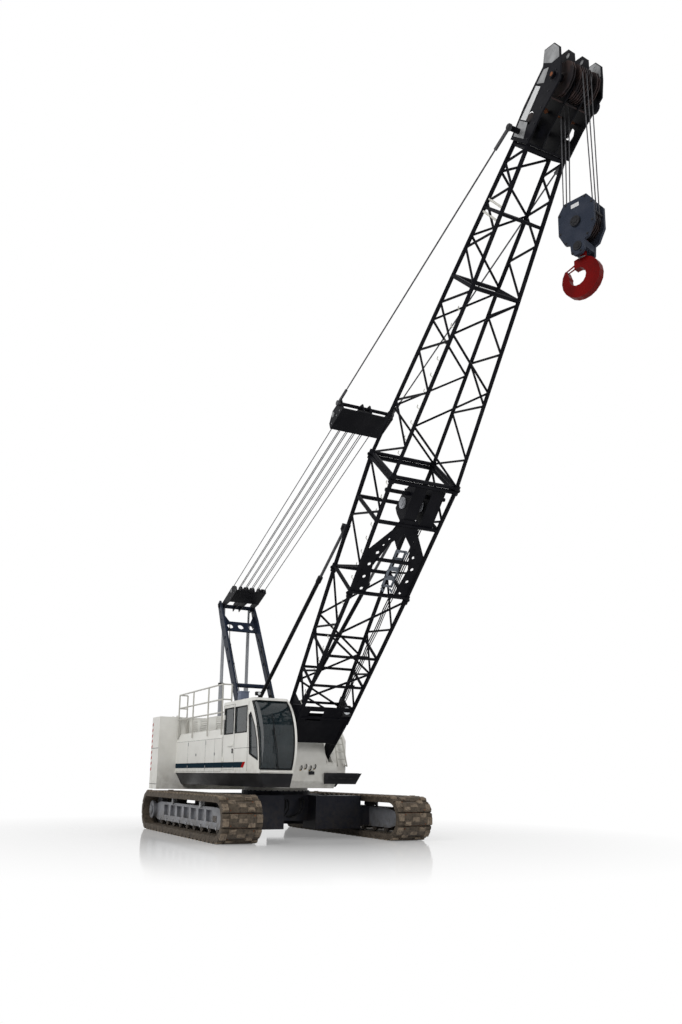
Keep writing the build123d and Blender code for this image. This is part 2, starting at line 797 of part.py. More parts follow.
def on_gantry(along, across, beside):
    side_step = unit(leg_angle + 90) * beside
    return gantry_top + unit(leg_angle) * along + side_step + Vector(0, across, 0)


def gantry_plane(across):
    return Plane(origin=on_gantry(0, across, 0), x_dir=unit(leg_angle), z_dir=(0, -1, 0))


with BuildPart() as gantry:
    for side in (-1, 1):
        leg_outline = (
            (-130, -90), (-130, 90), (600, gantry_leg_depth / 2 + 40),
            (leg_length - 700, gantry_leg_depth / 2), (leg_length + 90, 70),
            (leg_length + 90, -70), (leg_length - 700, -gantry_leg_depth / 2),
            (600, -gantry_leg_depth / 2 - 40),
        )
        add(plate(gantry_plane(side * gantry_half_width), leg_outline, gantry_leg_thickness))
    for along, radius in ((0, gantry_shaft_radius), (2980, 60), (4150, 70)):
        add(disc(on_gantry(along, 0, 0), radius, 2 * gantry_half_width))
    # web plate below the top shaft, with a deep notch and three round holes
    web_plane = Plane(origin=on_gantry(660, 0, 0), x_dir=(0, 1, 0), z_dir=unit(leg_angle + 90))
    with BuildSketch(web_plane) as web:
        with BuildLine():
            Polyline(
                (-gantry_half_width, -310), (gantry_half_width, -310), (gantry_half_width, 330),
                (gantry_half_width - 60, 330), (330, 50), (-330, 50), (60 - gantry_half_width, 330),
                (-gantry_half_width, 330), close=True,
            )
        make_face()
        with Locations((-330, -130), (0, -130), (330, -130)):
            RegularPolygon(95, 8, mode=Mode.SUBTRACT)
    extrude(web.sketch, amount=20, both=True)
    # holes along both legs
    for side in (-1, 1):
        with BuildSketch(gantry_plane(side * gantry_half_width)) as leg_holes:
            with Locations((1250, 0), (1700, 0), (2150, 0)):
                RegularPolygon(58, 8)
        extrude(leg_holes.sketch, amount=gantry_leg_thickness, both=True, mode=Mode.SUBTRACT)
save(gantry, "gantry")

strut_foot = Vector(gantry_top_x, 0, deck_top + seat_gap)
strut_top = Vector(gantry_top_x, 0, gantry_top_z - 460)
strut_end = Vector(gantry_top_x, 0, gantry_top_z - gantry_shaft_radius - seat_gap)
strut_across = gantry_half_width - 135

with BuildPart() as struts:
    pieces = []
    for side in (-1, 1):
        shift = Vector(0, side * strut_across, 0)
        pieces.append(bar(strut_foot + shift, strut_top + shift, strut_radius, 8))
        pieces.append(bar(strut_foot + shift, strut_foot + shift + Vector(0, 0, 2300), strut_radius + 22, 8))
        pieces.append(bar(strut_top + shift - Vector(0, 0, 30), strut_end + shift, 34, 8))
    add(pieces)
save(struts, "gantry_struts")


# ---- winches: flanged drums on their side plates ----
def drum(center, drum_radius, flange_radius, half_width):
    pieces = [disc(center, drum_radius, 2 * half_width)]
    for edge in (-1, 1):
        pieces.append(disc(center + Vector(0, edge * half_width, 0), flange_radius, 36))
        plate_outline = (
            (center.X - 0.8 * flange_radius, well_floor + seat_gap),
            (center.X + 0.8 * flange_radius, well_floor + seat_gap),
            (center.X + 0.35 * flange_radius, center.Z + 0.4 * flange_radius),
            (center.X - 0.35 * flange_radius, center.Z + 0.4 * flange_radius),
        )
        bracket_plane = side_plane(edge * (half_width + 50))
        pieces.append(plate(bracket_plane, plate_outline, 40))
        pieces.append(disc(center + Vector(0, edge * (half_width + 40), 0), 0.3 * flange_radius, 80))
    return pieces


winch_height = 2060.0
winch_half_width = 380.0
with BuildPart() as hoist_winches:
    add(drum(Vector(560, 0, winch_height), 230, 380, winch_half_width))
    add(drum(Vector(-330, 0, winch_height), 230, 380, winch_half_width))
save(hoist_winches, "hoist_winches")

with BuildPart() as luffing_winch:
    add(drum(Vector(-2450, 0, winch_height - 60), 190, 330, 330))
save(luffing_winch, "luffing_winch")


# ---- gantry head: the lower sheave nest, hung from the gantry's top shaft ----
pendant_pin = on_boom(pendant_along, 0, pendant_above)
line_run = pendant_pin - gantry_top
line_angle = degrees(atan2(line_run.Z, line_run.X))


def on_line(along, across, above):
    return gantry_top + unit(line_angle) * along + unit(line_angle + 90) * above + Vector(0, across, 0)


def line_plane(across):
    return Plane(origin=on_line(0, across, 0), x_dir=unit(line_angle), z_dir=(0, -1, 0))


line_sheave_places = (-380.0, -190.0, 0.0, 190.0, 380.0)
tray_drop = line_sheave_radius + 40


def tray(start, end, half_width):
    """The plate that closes a sheave nest below its sheaves."""
    outline = ((start, -tray_drop), (end, -tray_drop), (end, tray_thickness - tray_drop),
               (start, tray_thickness - tray_drop))
    return plate(line_plane(0), outline, 2 * half_width)


with BuildPart() as bail:
    for across in (8 - bail_half_width, -95, 95, bail_half_width - 8):
        with BuildSketch(line_plane(across)) as cheek:
            with BuildLine():
                Polyline((-100, -100), (100, -110), (bail_start, -tray_drop), (bail_end, -tray_drop),
                         (bail_end, -90), (bail_shaft + 130, 110), (-100, 100), close=True)
            make_face()
            Circle(gantry_shaft_radius + seat_gap, mode=Mode.SUBTRACT)
        extrude(cheek.sketch, amount=8, both=True)
    add(tray(bail_start, bail_end, bail_half_width))
    add(bar_across(on_line(bail_shaft, -bail_half_width, 0), on_line(bail_shaft, bail_half_width, 0), 45, 8))
    for across in line_sheave_places:
        add(disc(on_line(bail_shaft, across, 0), line_sheave_radius, 44))
save(bail, "gantry_bail")

# ---- bridle: the floating sheave frame, and the two pendants up to the boom head ----
with BuildPart() as bridle:
    for across in (15 - bridle_half_width, -95, 95, bridle_half_width - 15):
        cheek_outline = (
            (bridle_start, -tray_drop), (bridle_end, -tray_drop), (bridle_end, 60),
            (pendant_start, 90), (bridle_distance, 110), (bridle_start, -60),
        )
        add(plate(line_plane(across), cheek_outline, 30))
    add(tray(bridle_start, bridle_end, bridle_half_width))
    add(bar_across(on_line(bridle_distance, -bridle_half_width, 0),
                   on_line(bridle_distance, bridle_half_width, 0), 50, 8))
    add(bar_across(on_line(pendant_start, -bridle_half_width, 0),
                   on_line(pendant_start, bridle_half_width, 0), 42, 8))
    for across in line_sheave_places:
        add(disc(on_line(bridle_distance, across, 0), line_sheave_radius, 44))
save(bridle, "bridle")

with BuildPart() as pendants:
    pieces = []
    line_length = line_run.length
    for side in (-1, 1):
        start = on_line(pendant_start, side * pendant_spread, 0)
        end = on_line(line_length, side * pendant_half_width, 0)
        socket = (end - start).normalized() * 420
        pieces.append(bar(start, start + socket, 36))
        pieces.append(bar(start + socket, end - socket, pendant_radius))
        pieces.append(bar(end - socket, end, 36))
        pieces.append(disc(end, 62, 44))
        eye_inner = bridle_half_width + seat_gap
        pieces.append(disc(on_line(pendant_start, side * (eye_inner + pendant_spread + 36) / 2, 0),
                           62, pendant_spread + 36 - eye_inner))
    add(pieces)
save(pendants, "pendants")


# ---- boom: four chords with zigzag lacing and battens ----
def section_at(along, start, end):
    share = (along - start[0]) / (end[0] - start[0])
    width = start[1] + share * (end[1] - start[1])
    depth = start[2] + share * (end[2] - start[2])
    return width / 2, depth / 2


def corner(along, side, face, start, end):
    half_width, half_depth = section_at(along, start, end)
    return on_boom(along, side * half_width, face * half_depth)


def bays(start, end, count, margin):
    """Stations of a zigzag whose bays shrink with the section's depth."""
    ratio = (end[2] / start[2]) ** (1 / count)
    lengths = [ratio ** index for index in range(count)]
    scale = (end[0] - start[0] - 2 * margin) / sum(lengths)
    stations = [start[0] + margin]
    for length in lengths:
        stations.append(stations[-1] + scale * length)
    return stations


def chords(start, end, radius):
    """Four tubes whose ends are cut square to the boom, so that sections meet face to face."""
    tubes = []
    for side in (-1, 1):
        for face in (-1, 1):
            with BuildSketch(Plane(origin=corner(start[0], side, face, start, end),
                                   x_dir=(0, 1, 0), z_dir=boom_direction)) as low:
                RegularPolygon(radius, 6)
            with BuildSketch(Plane(origin=corner(end[0], side, face, start, end),
                                   x_dir=(0, 1, 0), z_dir=boom_direction)) as high:
                RegularPolygon(radius, 6)
            tubes.append(loft([low.sketch, high.sketch], ruled=True, mode=Mode.PRIVATE))
    return tubes


def side_lacing(start, end, count, radius, margin=60, low_face=1):
    """Zigzag tubes in both side faces, from low_face at the start."""
    pieces = []
    stations = bays(start, end, count, margin)
    for index in range(count):
        face = low_face if index % 2 == 0 else -low_face
        for side in (-1, 1):
            pieces.append(bar(corner(stations[index], side, face, start, end),
                              corner(stations[index + 1], side, -face, start, end), radius))
    return pieces


def cross_lacing(start, end, count, radius, margin=60, faces=(-1, 1)):
    """Zigzag tubes in the front and rear faces."""
    pieces = []
    stations = bays(start, end, count, margin)
    for index in range(count):
        side = 1 if index % 2 == 0 else -1
        for face in faces:
            pieces.append(bar(corner(stations[index], side, face, start, end),
                              corner(stations[index + 1], -side, face, start, end), radius))
    return pieces


def batten_frame(along, start, end, radius):
    pieces = []
    for face in (-1, 1):
        pieces.append(bar_across(corner(along, -1, face, start, end),
                                 corner(along, 1, face, start, end), radius))
    for side in (-1, 1):
        pieces.append(bar(corner(along, side, -1, start, end), corner(along, side, 1, start, end), radius))
    return pieces


def boom_foot_plate(side):
    """The closed side plate that runs from the first lacing bay down to the foot boss."""
    half_depth = foot_station[2] / 2
    with BuildSketch(boom_plane(side * foot_half_width)) as cheek:
        with BuildLine():
            Polyline((foot_station[0] + 350, half_depth + 40), (foot_station[0] - 100, half_depth + 20),
                     (-20, foot_boss_radius - 8), (-20, -foot_boss_radius + 8),
                     (foot_station[0] - 100, -half_depth - 20), (foot_station[0] + 350, -half_depth - 40),
                     close=True)
        make_face()
        Circle(foot_boss_radius)
        Circle(foot_pin_radius + seat_gap, mode=Mode.SUBTRACT)
    return extrude(cheek.sketch, amount=35, both=True, mode=Mode.PRIVATE)


with BuildPart() as butt:
    pieces = chords(foot_station, frame_station, chord_radius)
    pieces += side_lacing(foot_station, frame_station, 6, lacing_radius)
    pieces += cross_lacing(foot_station, frame_station, 4, lacing_radius)
    for along in (foot_station[0] + 150, 2430.0, 3300.0):
        pieces += batten_frame(along, foot_station, frame_station, batten_radius)
    for side in (-1, 1):
        pieces.append(boom_foot_plate(side))
    add(pieces)
    # front and rear closing plates between the foot cheeks, with a window in the front one
    closing_low = 620.0
    for face, closing_high in ((-1, foot_station[0] + 500), (1, foot_station[0] - 150)):
        low_above = face * 0.69 * foot_station[2] / 2
        high_above = low_above + face * 0.119 * (closing_high - closing_low)
        low_point = on_boom(closing_low, 0, low_above)
        run = on_boom(closing_high, 0, high_above) - low_point
        closing_plane = Plane(origin=low_point, x_dir=run, z_dir=Vector(0, 1, 0).cross(run))
        with BuildSketch(closing_plane) as closing:
            with Locations((run.length / 2, 0)):
                Rectangle(run.length, 2 * foot_half_width)
            if face < 0:
                with Locations((0.75 * run.length, 258)):
                    Rectangle(340, 374, mode=Mode.SUBTRACT)
        extrude(closing.sketch, amount=9, both=True)
save(butt, "boom_butt")

# ---- boom frame: the deepest bay, with a pierced arch plate, cross tubes and the stop lugs ----
arch_outline = (
    # along, across
    (5010.0, -680.0), (6034.0, -700.0), (6600.0, -300.0), (6880.0, -200.0),
    (6880.0, 200.0), (6600.0, 300.0), (6034.0, 700.0), (5010.0, 680.0),
)
arch_opening = (
    (5060.0, -344.0), (5158.0, -344.0), (5731.0, -426.0), (5987.0, -344.0), (6288.0, -250.0), (6550.0, 0.0),
    (6288.0, 250.0), (5987.0, 344.0), (5731.0, 426.0), (5158.0, 344.0), (5060.0, 344.0),
)
arch_holes = (
    # along, across, radius
    (5156.0, 475.0, 42.0), (5450.0, 520.0, 42.0), (5757.0, 515.0, 42.0), (6045.0, 432.0, 42.0),
    (6238.0, 365.0, 26.0), (6391.0, 290.0, 26.0), (6543.0, 168.0, 26.0),
)
arch_thickness = 24.0
rod_lug_inner = 655.0
rod_lug_thickness = 30.0

with BuildPart() as boom_frame:
    pieces = chords(frame_station, joint_station, chord_radius)
    pieces += side_lacing(frame_station, joint_station, 4, lacing_radius)
    for along in (frame_station[0] + 45, stop_bay_end, joint_station[0] - 45):
        pieces += batten_frame(along, frame_station, joint_station, batten_radius + 10)
    add(pieces)
    # the arch lies in the underside face, between the lower chords
    arch_start = on_boom(frame_station[0], 0, -frame_station[2] / 2)
    arch_run = on_boom(joint_station[0], 0, -joint_station[2] / 2) - arch_start
    arch_plane = Plane(origin=arch_start, x_dir=arch_run, z_dir=Vector(0, 1, 0).cross(arch_run))
    with BuildSketch(arch_plane) as arch:
        with BuildLine():
            Polyline(*[(along - frame_station[0], across) for along, across in arch_outline], close=True)
        make_face()
        with BuildLine():
            Polyline(*[(along - frame_station[0], across) for along, across in arch_opening], close=True)
        make_face(mode=Mode.SUBTRACT)
        for along, across, radius in arch_holes:
            with Locations((along - frame_station[0], across), (along - frame_station[0], -across)):
                RegularPolygon(radius, 6, mode=Mode.SUBTRACT)
    extrude(arch.sketch, amount=arch_thickness / 2, both=True)
    for along, half_length, above in ((5890, 400, 0), (7380, 700, 180)):
        half_width, half_depth = section_at(along, frame_station, joint_station)
        add(bar_across(on_boom(along, -half_length, above - half_depth),
                       on_boom(along, half_length, above - half_depth), 42))
    # lugs on the rear chords, for the rods of the boom stops
    chord_half, chord_depth = section_at(stop_pin_along, frame_station, joint_station)
    rod_lug_outline = (
        (stop_pin_along - 210, chord_depth - 20), (stop_pin_along + 210, chord_depth - 20),
        (stop_pin_along + 70, stop_pin_above + 70), (stop_pin_along - 70, stop_pin_above + 70),
    )
    for side in (-1, 1):
        lug_middle = side * (rod_lug_inner + rod_lug_thickness / 2)
        add(plate(boom_plane(lug_middle), rod_lug_outline, rod_lug_thickness))
    # two drives stand on the batten and the cross tube behind the arch
    half_width, half_depth = section_at(stop_bay_end, frame_station, joint_station)
    drive_outline = (
        (stop_bay_end, 10 - half_depth), (7600, 20 - half_depth), (7560, 250 - half_depth),
        (7300, 420 - half_depth), (6900, 470 - half_depth), (6830, 330 - half_depth),
    )
    for across, width in ((-10, 280), (420, 300)):
        add(plate(boom_plane(across), drive_outline, width))
save(boom_frame, "boom_frame")


with BuildPart() as boom_top:
    pieces = chords(joint_station, neck_station, top_chord_radius)
    pieces += chords(neck_station, tip_station, top_chord_radius)
    pieces += side_lacing(joint_station, neck_station, 7, lacing_radius - 3)
    pieces += cross_lacing(joint_station, neck_station, 4, lacing_radius - 3)
    pieces += side_lacing(neck_station, tip_station, 6, lacing_radius - 3, low_face=-1)
    pieces += cross_lacing(neck_station, tip_station, 4, lacing_radius - 3, faces=(1,))
    pieces += batten_frame(joint_station[0] + 45, joint_station, neck_station, batten_radius + 6)
    for along, radius in ((neck_station[0] + 10, batten_radius + 6), (12750.0, batten_radius - 4),
                          (tip_station[0] - 40, batten_radius)):
        pieces += batten_frame(along, neck_station, tip_station, radius)
    add(pieces)
save(boom_top, "boom_top")

# ---- boom head: an end frame and four fins that carry the sheave shaft, with eyes at the tips ----
tip_half_width = tip_station[1] / 2
tip_half_depth = tip_station[2] / 2
head_start = tip_station[0] + seat_gap
inner_fin = 147.0
fin_places = (-head_half_width, -inner_fin, inner_fin, head_half_width)
deflector_along = head_start + 300
deflector_above = tip_half_depth - 20
head_sheave_places = (-258.0, -90.0, 0.0, 90.0, 258.0)
# along, above: from the end frame round the shaft to the tip and back
fin_outline = (
    (head_start, tip_half_depth + 70), (head_start + 520, tip_half_depth + 38),
    (head_shaft_along + 100, 135), (fin_eye_along - 25, 280), (fin_eye_along + 95, 60),
    (fin_eye_along + 50, -150), (fin_eye_along - 145, -335),
    (head_shaft_along - 30, head_shaft_above - 220), (head_start + 470, head_shaft_above - 61),
    (head_start, -tip_half_depth - 60),
)

with BuildPart() as boom_head:
    for index, across in enumerate(fin_places):
        outer = index in (0, 3)
        with BuildSketch(boom_plane(across)) as fin:
            with BuildLine():
                Polyline(*fin_outline, close=True)
            make_face()
            with Locations((fin_eye_along, 0)):
                Circle(fin_eye_radius, mode=Mode.SUBTRACT)
            if outer:
                with Locations((head_start + 380, -40)):
                    RegularPolygon(120, 8, mode=Mode.SUBTRACT)
        extrude(fin.sketch, amount=14 if outer else 10, both=True)
    with BuildSketch(Plane(origin=on_boom(head_start, 0, 0), x_dir=(0, 1, 0), z_dir=boom_direction)) as end_frame:
        Rectangle(2 * head_half_width, 2 * tip_half_depth + 110)
        Rectangle(2 * head_half_width - 220, 2 * tip_half_depth - 110, mode=Mode.SUBTRACT)
    extrude(end_frame.sketch, amount=30)
    add(disc(on_boom(head_shaft_along, 0, head_shaft_above), head_shaft_radius, 2 * head_half_width + 120))
    add(disc(on_boom(deflector_along, 0, deflector_above), 45, 2 * head_half_width))
    add(disc(on_boom(head_shaft_along - 200, head_half_width, head_shaft_above - 140), 90, 60))
    # ears for the pendants, standing out from the outer fins
    for side in (-1, 1):
        ear_end = pendant_half_width - 36 - seat_gap
        ear_center = on_boom(pendant_along, side * (head_half_width + ear_end) / 2, pendant_above)
        add(disc(ear_center, 46, ear_end - head_half_width))
save(boom_head, "boom_head")


def sheave(center, radius, shaft_radius):
    """A grooved rope sheave: a core between two rims, bored to sit on its shaft."""
    with BuildPart(mode=Mode.PRIVATE) as wheel:
        add(disc(center, radius - groove_depth, sheave_thickness))
        for edge in (-1, 1):
            rim_shift = edge * (sheave_thickness - sheave_rim) / 2
            add(disc(center + Vector(0, rim_shift, 0), radius, sheave_rim))
        add(disc(center, shaft_radius + seat_gap, 2 * sheave_thickness), mode=Mode.SUBTRACT)
    return wheel.part


with BuildPart() as head_sheaves:
    for across in head_sheave_places:
        center = on_boom(head_shaft_along, across, head_shaft_above)
        add(sheave(center, head_sheave_radius, head_shaft_radius))
    for across in (-250.0, 250.0):
        add(sheave(on_boom(deflector_along, across, deflector_above), 200, 45))
save(head_sheaves, "head_sheaves")


# ---- boom stops: outer tubes on the deck, rods that push against the boom ----
stop_foot = Vector(stop_foot_x, 0, stop_foot_z)
stop_pin = on_boom(stop_pin_along, 0, stop_pin_above)
stop_run = stop_pin - stop_foot
stop_direction = stop_run.normalized()

def stop_plane(side, along):
    """A plane square to a stop, at a distance from its foot pin."""
    start = stop_foot + Vector(0, side * stop_half_width, 0) + stop_direction * along
    return Plane(origin=start, x_dir=(0, 1, 0), z_dir=stop_direction)


with BuildPart() as stop_tubes:
    for side in (-1, 1):
        with BuildSketch(stop_plane(side, 60)) as body:
            RegularPolygon(stop_tube_radius, 10)
        extrude(body.sketch, amount=stop_tube_length - 60)
        with BuildSketch(stop_plane(side, stop_tube_length - 160)) as collar:
            RegularPolygon(stop_tube_radius + 12, 10)
        extrude(collar.sketch, amount=160)
        with BuildSketch(stop_plane(side, 260)) as hollow:
            RegularPolygon(stop_tube_radius - stop_tube_wall, 10)
        extrude(hollow.sketch, amount=stop_tube_length, mode=Mode.SUBTRACT)
        eye_center = stop_foot + Vector(0, side * stop_half_width, 0)
        add(disc(eye_center, 78, 2 * stop_tube_radius))
        add(pin(eye_center, stop_pin_radius, 4 * stop_tube_radius), mode=Mode.SUBTRACT)
save(stop_tubes, "boom_stop_tubes")

with BuildPart() as stop_rods:
    pieces = []
    for side in (-1, 1):
        eye_center = stop_pin + Vector(0, side * stop_half_width, 0)
        inner_end = stop_foot + stop_direction * (stop_tube_length - stop_rod_inside)
        inner_end = inner_end + Vector(0, side * stop_half_width, 0)
        pieces.append(bar(inner_end, eye_center, stop_rod_radius, 10))
        pieces.append(disc(eye_center, 70, 2 * stop_rod_radius))
        # the pin is one with the eye, and reaches across to the lug
        pin_length = rod_lug_inner - seat_gap - stop_half_width
        pin_middle = stop_pin + Vector(0, side * (stop_half_width + pin_length / 2), 0)
        pieces.append(disc(pin_middle, stop_pin_radius, pin_length))
    add(pieces)
save(stop_rods, "boom_stop_rods")


# ---- hoist falls, hook block and hook, hanging plumb below the head shaft ----
head_shaft = on_boom(head_shaft_along, 0, head_shaft_above)
block_center = head_shaft - Vector(0, 0, block_drop)
block_shaft_radius = 52.0
fall_places = (-90.0, 0.0, 90.0)
fall_flat = fall_radius * cos(radians(30))
turn_fore = Vector(cos(radians(block_turn)), sin(radians(block_turn)), 0)
turn_across = Vector(-sin(radians(block_turn)), cos(radians(block_turn)), 0)

with BuildPart() as falls:
    for across in fall_places:
        for fore in (-1, 1):
            low_reach = fore * (block_sheave_radius - groove_depth + fall_radius + seat_gap)
            low = block_center + turn_fore * low_reach + turn_across * across - Vector(0, 0, block_shaft_drop)
            high_reach = fore * (head_sheave_radius - groove_depth + fall_flat + seat_gap)
            add(bar(low, head_shaft + Vector(high_reach, across, 0), fall_radius))
save(falls, "hoist_falls")


def hang(piece):
    """Turn a piece drawn about the origin by the block's own turn, and hang it in its place."""
    with BuildPart() as hung:
        with Locations(block_center):
            add(piece.part, rotation=(0, 0, block_turn))
    return hung


# around the block's middle: fore and aft, height
cheek_outline = (
    (-200.0, 329.0), (200.0, 329.0), (317.0, 170.0), (317.0, -190.0), (210.0, -400.0), (135.0, -430.0),
    (125.0, -590.0), (70.0, -645.0), (-50.0, -645.0), (-107.0, -590.0), (-120.0, -430.0),
    (-210.0, -400.0), (-317.0, -190.0), (-317.0, 170.0),
)

with BuildPart() as block:
    for side in (-1, 1):
        add(plate(side_plane(side * (block_width - block_cheek) / 2), cheek_outline, block_cheek))
    with Locations((0, 0, -cross_head_drop)):
        Box(250, block_width - block_cheek, cross_head_height)
        Cylinder(shank_radius + 5, 2 * cross_head_height, mode=Mode.SUBTRACT)
    add(disc(Vector(0, 0, -block_shaft_drop), block_shaft_radius, block_width + 40))
save(hang(block), "hook_block")

with BuildPart() as block_sheaves:
    for across in fall_places:
        add(sheave(Vector(0, across, -block_shaft_drop), block_sheave_radius, block_shaft_radius))
save(hang(block_sheaves), "block_sheaves")

nut_bottom = cross_head_height / 2 + seat_gap - cross_head_drop
neck_top = cheek_outline[7][1] - 10
hook_bottom_shift = (-27.0, -970.0)
hook_throat_shift = (-82.0, -940.0)

with BuildPart() as hook:
    with BuildSketch(side_plane(0)) as hook_face:
        with Locations(hook_bottom_shift):
            RegularPolygon(hook_radius, 20)
        with BuildLine():
            Polyline((-131, -850), (200, -850), (177, neck_top - 55), (85, neck_top), (-85, neck_top),
                     (-131, neck_top - 45), close=True)
        make_face()
        with Locations(hook_throat_shift):
            RegularPolygon(hook_throat, 14, mode=Mode.SUBTRACT)
        with BuildLine():
            Polyline((-131, -560), (-420, -560), (-420, -777), (-268, -777), (-228, -900), (-131, -900),
                     close=True)
        make_face(mode=Mode.SUBTRACT)
    extrude(hook_face.sketch, amount=hook_thickness / 2, both=True)
    with Locations((0, 0, neck_top - 20)):
        Cylinder(shank_radius, nut_bottom + 50 - neck_top, align=(Align.CENTER, Align.CENTER, Align.MIN))
    with BuildSketch(Plane.XY.offset(nut_bottom)):
        RegularPolygon(95, 8)
    extrude(amount=48)
save(hang(hook), "hook")

print("line angle", round(line_angle, 2), "line length", round(line_run.length, 1))
print("stop length", round(stop_run.length, 1), "head shaft", head_shaft, "pendant pin", pendant_pin)
print("stop pin", stop_pin, "block centre", block_center)
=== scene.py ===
import bmesh
import bpy
import math
from mathutils import Matrix, Vector


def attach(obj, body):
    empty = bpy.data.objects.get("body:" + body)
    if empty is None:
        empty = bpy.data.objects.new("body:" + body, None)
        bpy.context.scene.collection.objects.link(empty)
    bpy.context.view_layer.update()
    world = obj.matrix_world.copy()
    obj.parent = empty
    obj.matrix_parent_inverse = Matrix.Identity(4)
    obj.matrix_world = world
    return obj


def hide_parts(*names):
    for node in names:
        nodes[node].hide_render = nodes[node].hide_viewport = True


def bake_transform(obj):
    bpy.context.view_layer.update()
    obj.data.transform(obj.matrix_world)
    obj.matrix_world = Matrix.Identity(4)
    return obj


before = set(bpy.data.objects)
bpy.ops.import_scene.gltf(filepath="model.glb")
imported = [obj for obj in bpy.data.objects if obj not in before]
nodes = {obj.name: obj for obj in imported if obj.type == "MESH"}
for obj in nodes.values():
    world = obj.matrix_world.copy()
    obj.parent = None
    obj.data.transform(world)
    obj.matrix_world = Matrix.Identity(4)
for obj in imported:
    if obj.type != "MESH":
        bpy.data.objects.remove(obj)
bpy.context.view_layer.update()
print("frame loaded,", len(nodes), "nodes")

# the boom's own axes, its head shaft and the pendants' pin, in metres and degrees
boom = {"foot": Vector((1.6, 0, 1.93)), "angle": 47.25, "shaftAlong": 14.93, "shaftAbove": -0.30,
        "pinAlong": 14.03, "pinAbove": 0.12}
boomDir = Vector((math.cos(math.radians(boom["angle"])), 0, math.sin(math.radians(boom["angle"]))))
boomUp = Vector((-boomDir.z, 0, boomDir.x))


def onBoom(along, across, above):
    return boom["foot"] + boomDir * along + boomUp * above + Vector((0, across, 0))


def onShaft(across, fore=0.0, rise=0.0):
    return onBoom(boom["shaftAlong"] + fore, across, boom["shaftAbove"] + rise)


gantryTop = Vector((-3.53, 0, 6.5))
lineRun = onBoom(boom["pinAlong"], 0, boom["pinAbove"]) - gantryTop
lineDir = lineRun.normalized()
lineUp = Vector((-lineDir.z, 0, lineDir.x))


def onLine(along, across, above):
    return gantryTop + lineDir * along + lineUp * above + Vector((0, across, 0))


# materials
def newMaterial(name):
    mat = bpy.data.materials.new(name)
    mat.use_nodes = True
    tree = mat.node_tree
    return mat, tree, tree.nodes["Principled BSDF"]


def addNode(tree, kind, **values):
    node = tree.nodes.new(kind)
    for key, value in values.items():
        setattr(node, key, value)
    return node


def setInputs(node, values):
    for key, value in values.items():
        node.inputs[key].default_value = value


def noise(tree, coords, scale, detail=4.0, rough=0.6):
    node = addNode(tree, "ShaderNodeTexNoise")
    setInputs(node, {"Scale": scale, "Detail": detail, "Roughness": rough})
    tree.links.new(coords, node.inputs["Vector"])
    return node.outputs["Fac"]


def remap(tree, value, low, high, toLow=0.0, toHigh=1.0):
    node = addNode(tree, "ShaderNodeMapRange")
    setInputs(node, {"From Min": low, "From Max": high, "To Min": toLow, "To Max": toHigh})
    tree.links.new(value, node.inputs["Value"])
    return node.outputs["Result"]


def mixColor(tree, factor, first, second):
    node = addNode(tree, "ShaderNodeMix", data_type="RGBA")
    tree.links.new(factor, node.inputs["Factor"])
    for socket, value in ((node.inputs[6], first), (node.inputs[7], second)):
        if isinstance(value, tuple):
            socket.default_value = (*value, 1.0)
        else:
            tree.links.new(value, socket)
    return node.outputs[2]


def compute(tree, a, b, operation="MULTIPLY"):
    node = addNode(tree, "ShaderNodeMath", operation=operation)
    for index, value in enumerate((a, b)):
        if isinstance(value, (int, float)):
            node.inputs[index].default_value = value
        else:
            tree.links.new(value, node.inputs[index])
    return node.outputs[0]


def objectCoords(tree):
    coords = addNode(tree, "ShaderNodeTexCoord").outputs["Object"]
    split = addNode(tree, "ShaderNodeSeparateXYZ")
    tree.links.new(coords, split.inputs[0])
    return coords, split.outputs


def addBump(tree, shader, height, strength, distance):
    node = addNode(tree, "ShaderNodeBump")
    setInputs(node, {"Strength": strength, "Distance": distance})
    tree.links.new(height, node.inputs["Height"])
    tree.links.new(node.outputs[0], shader.inputs["Normal"])


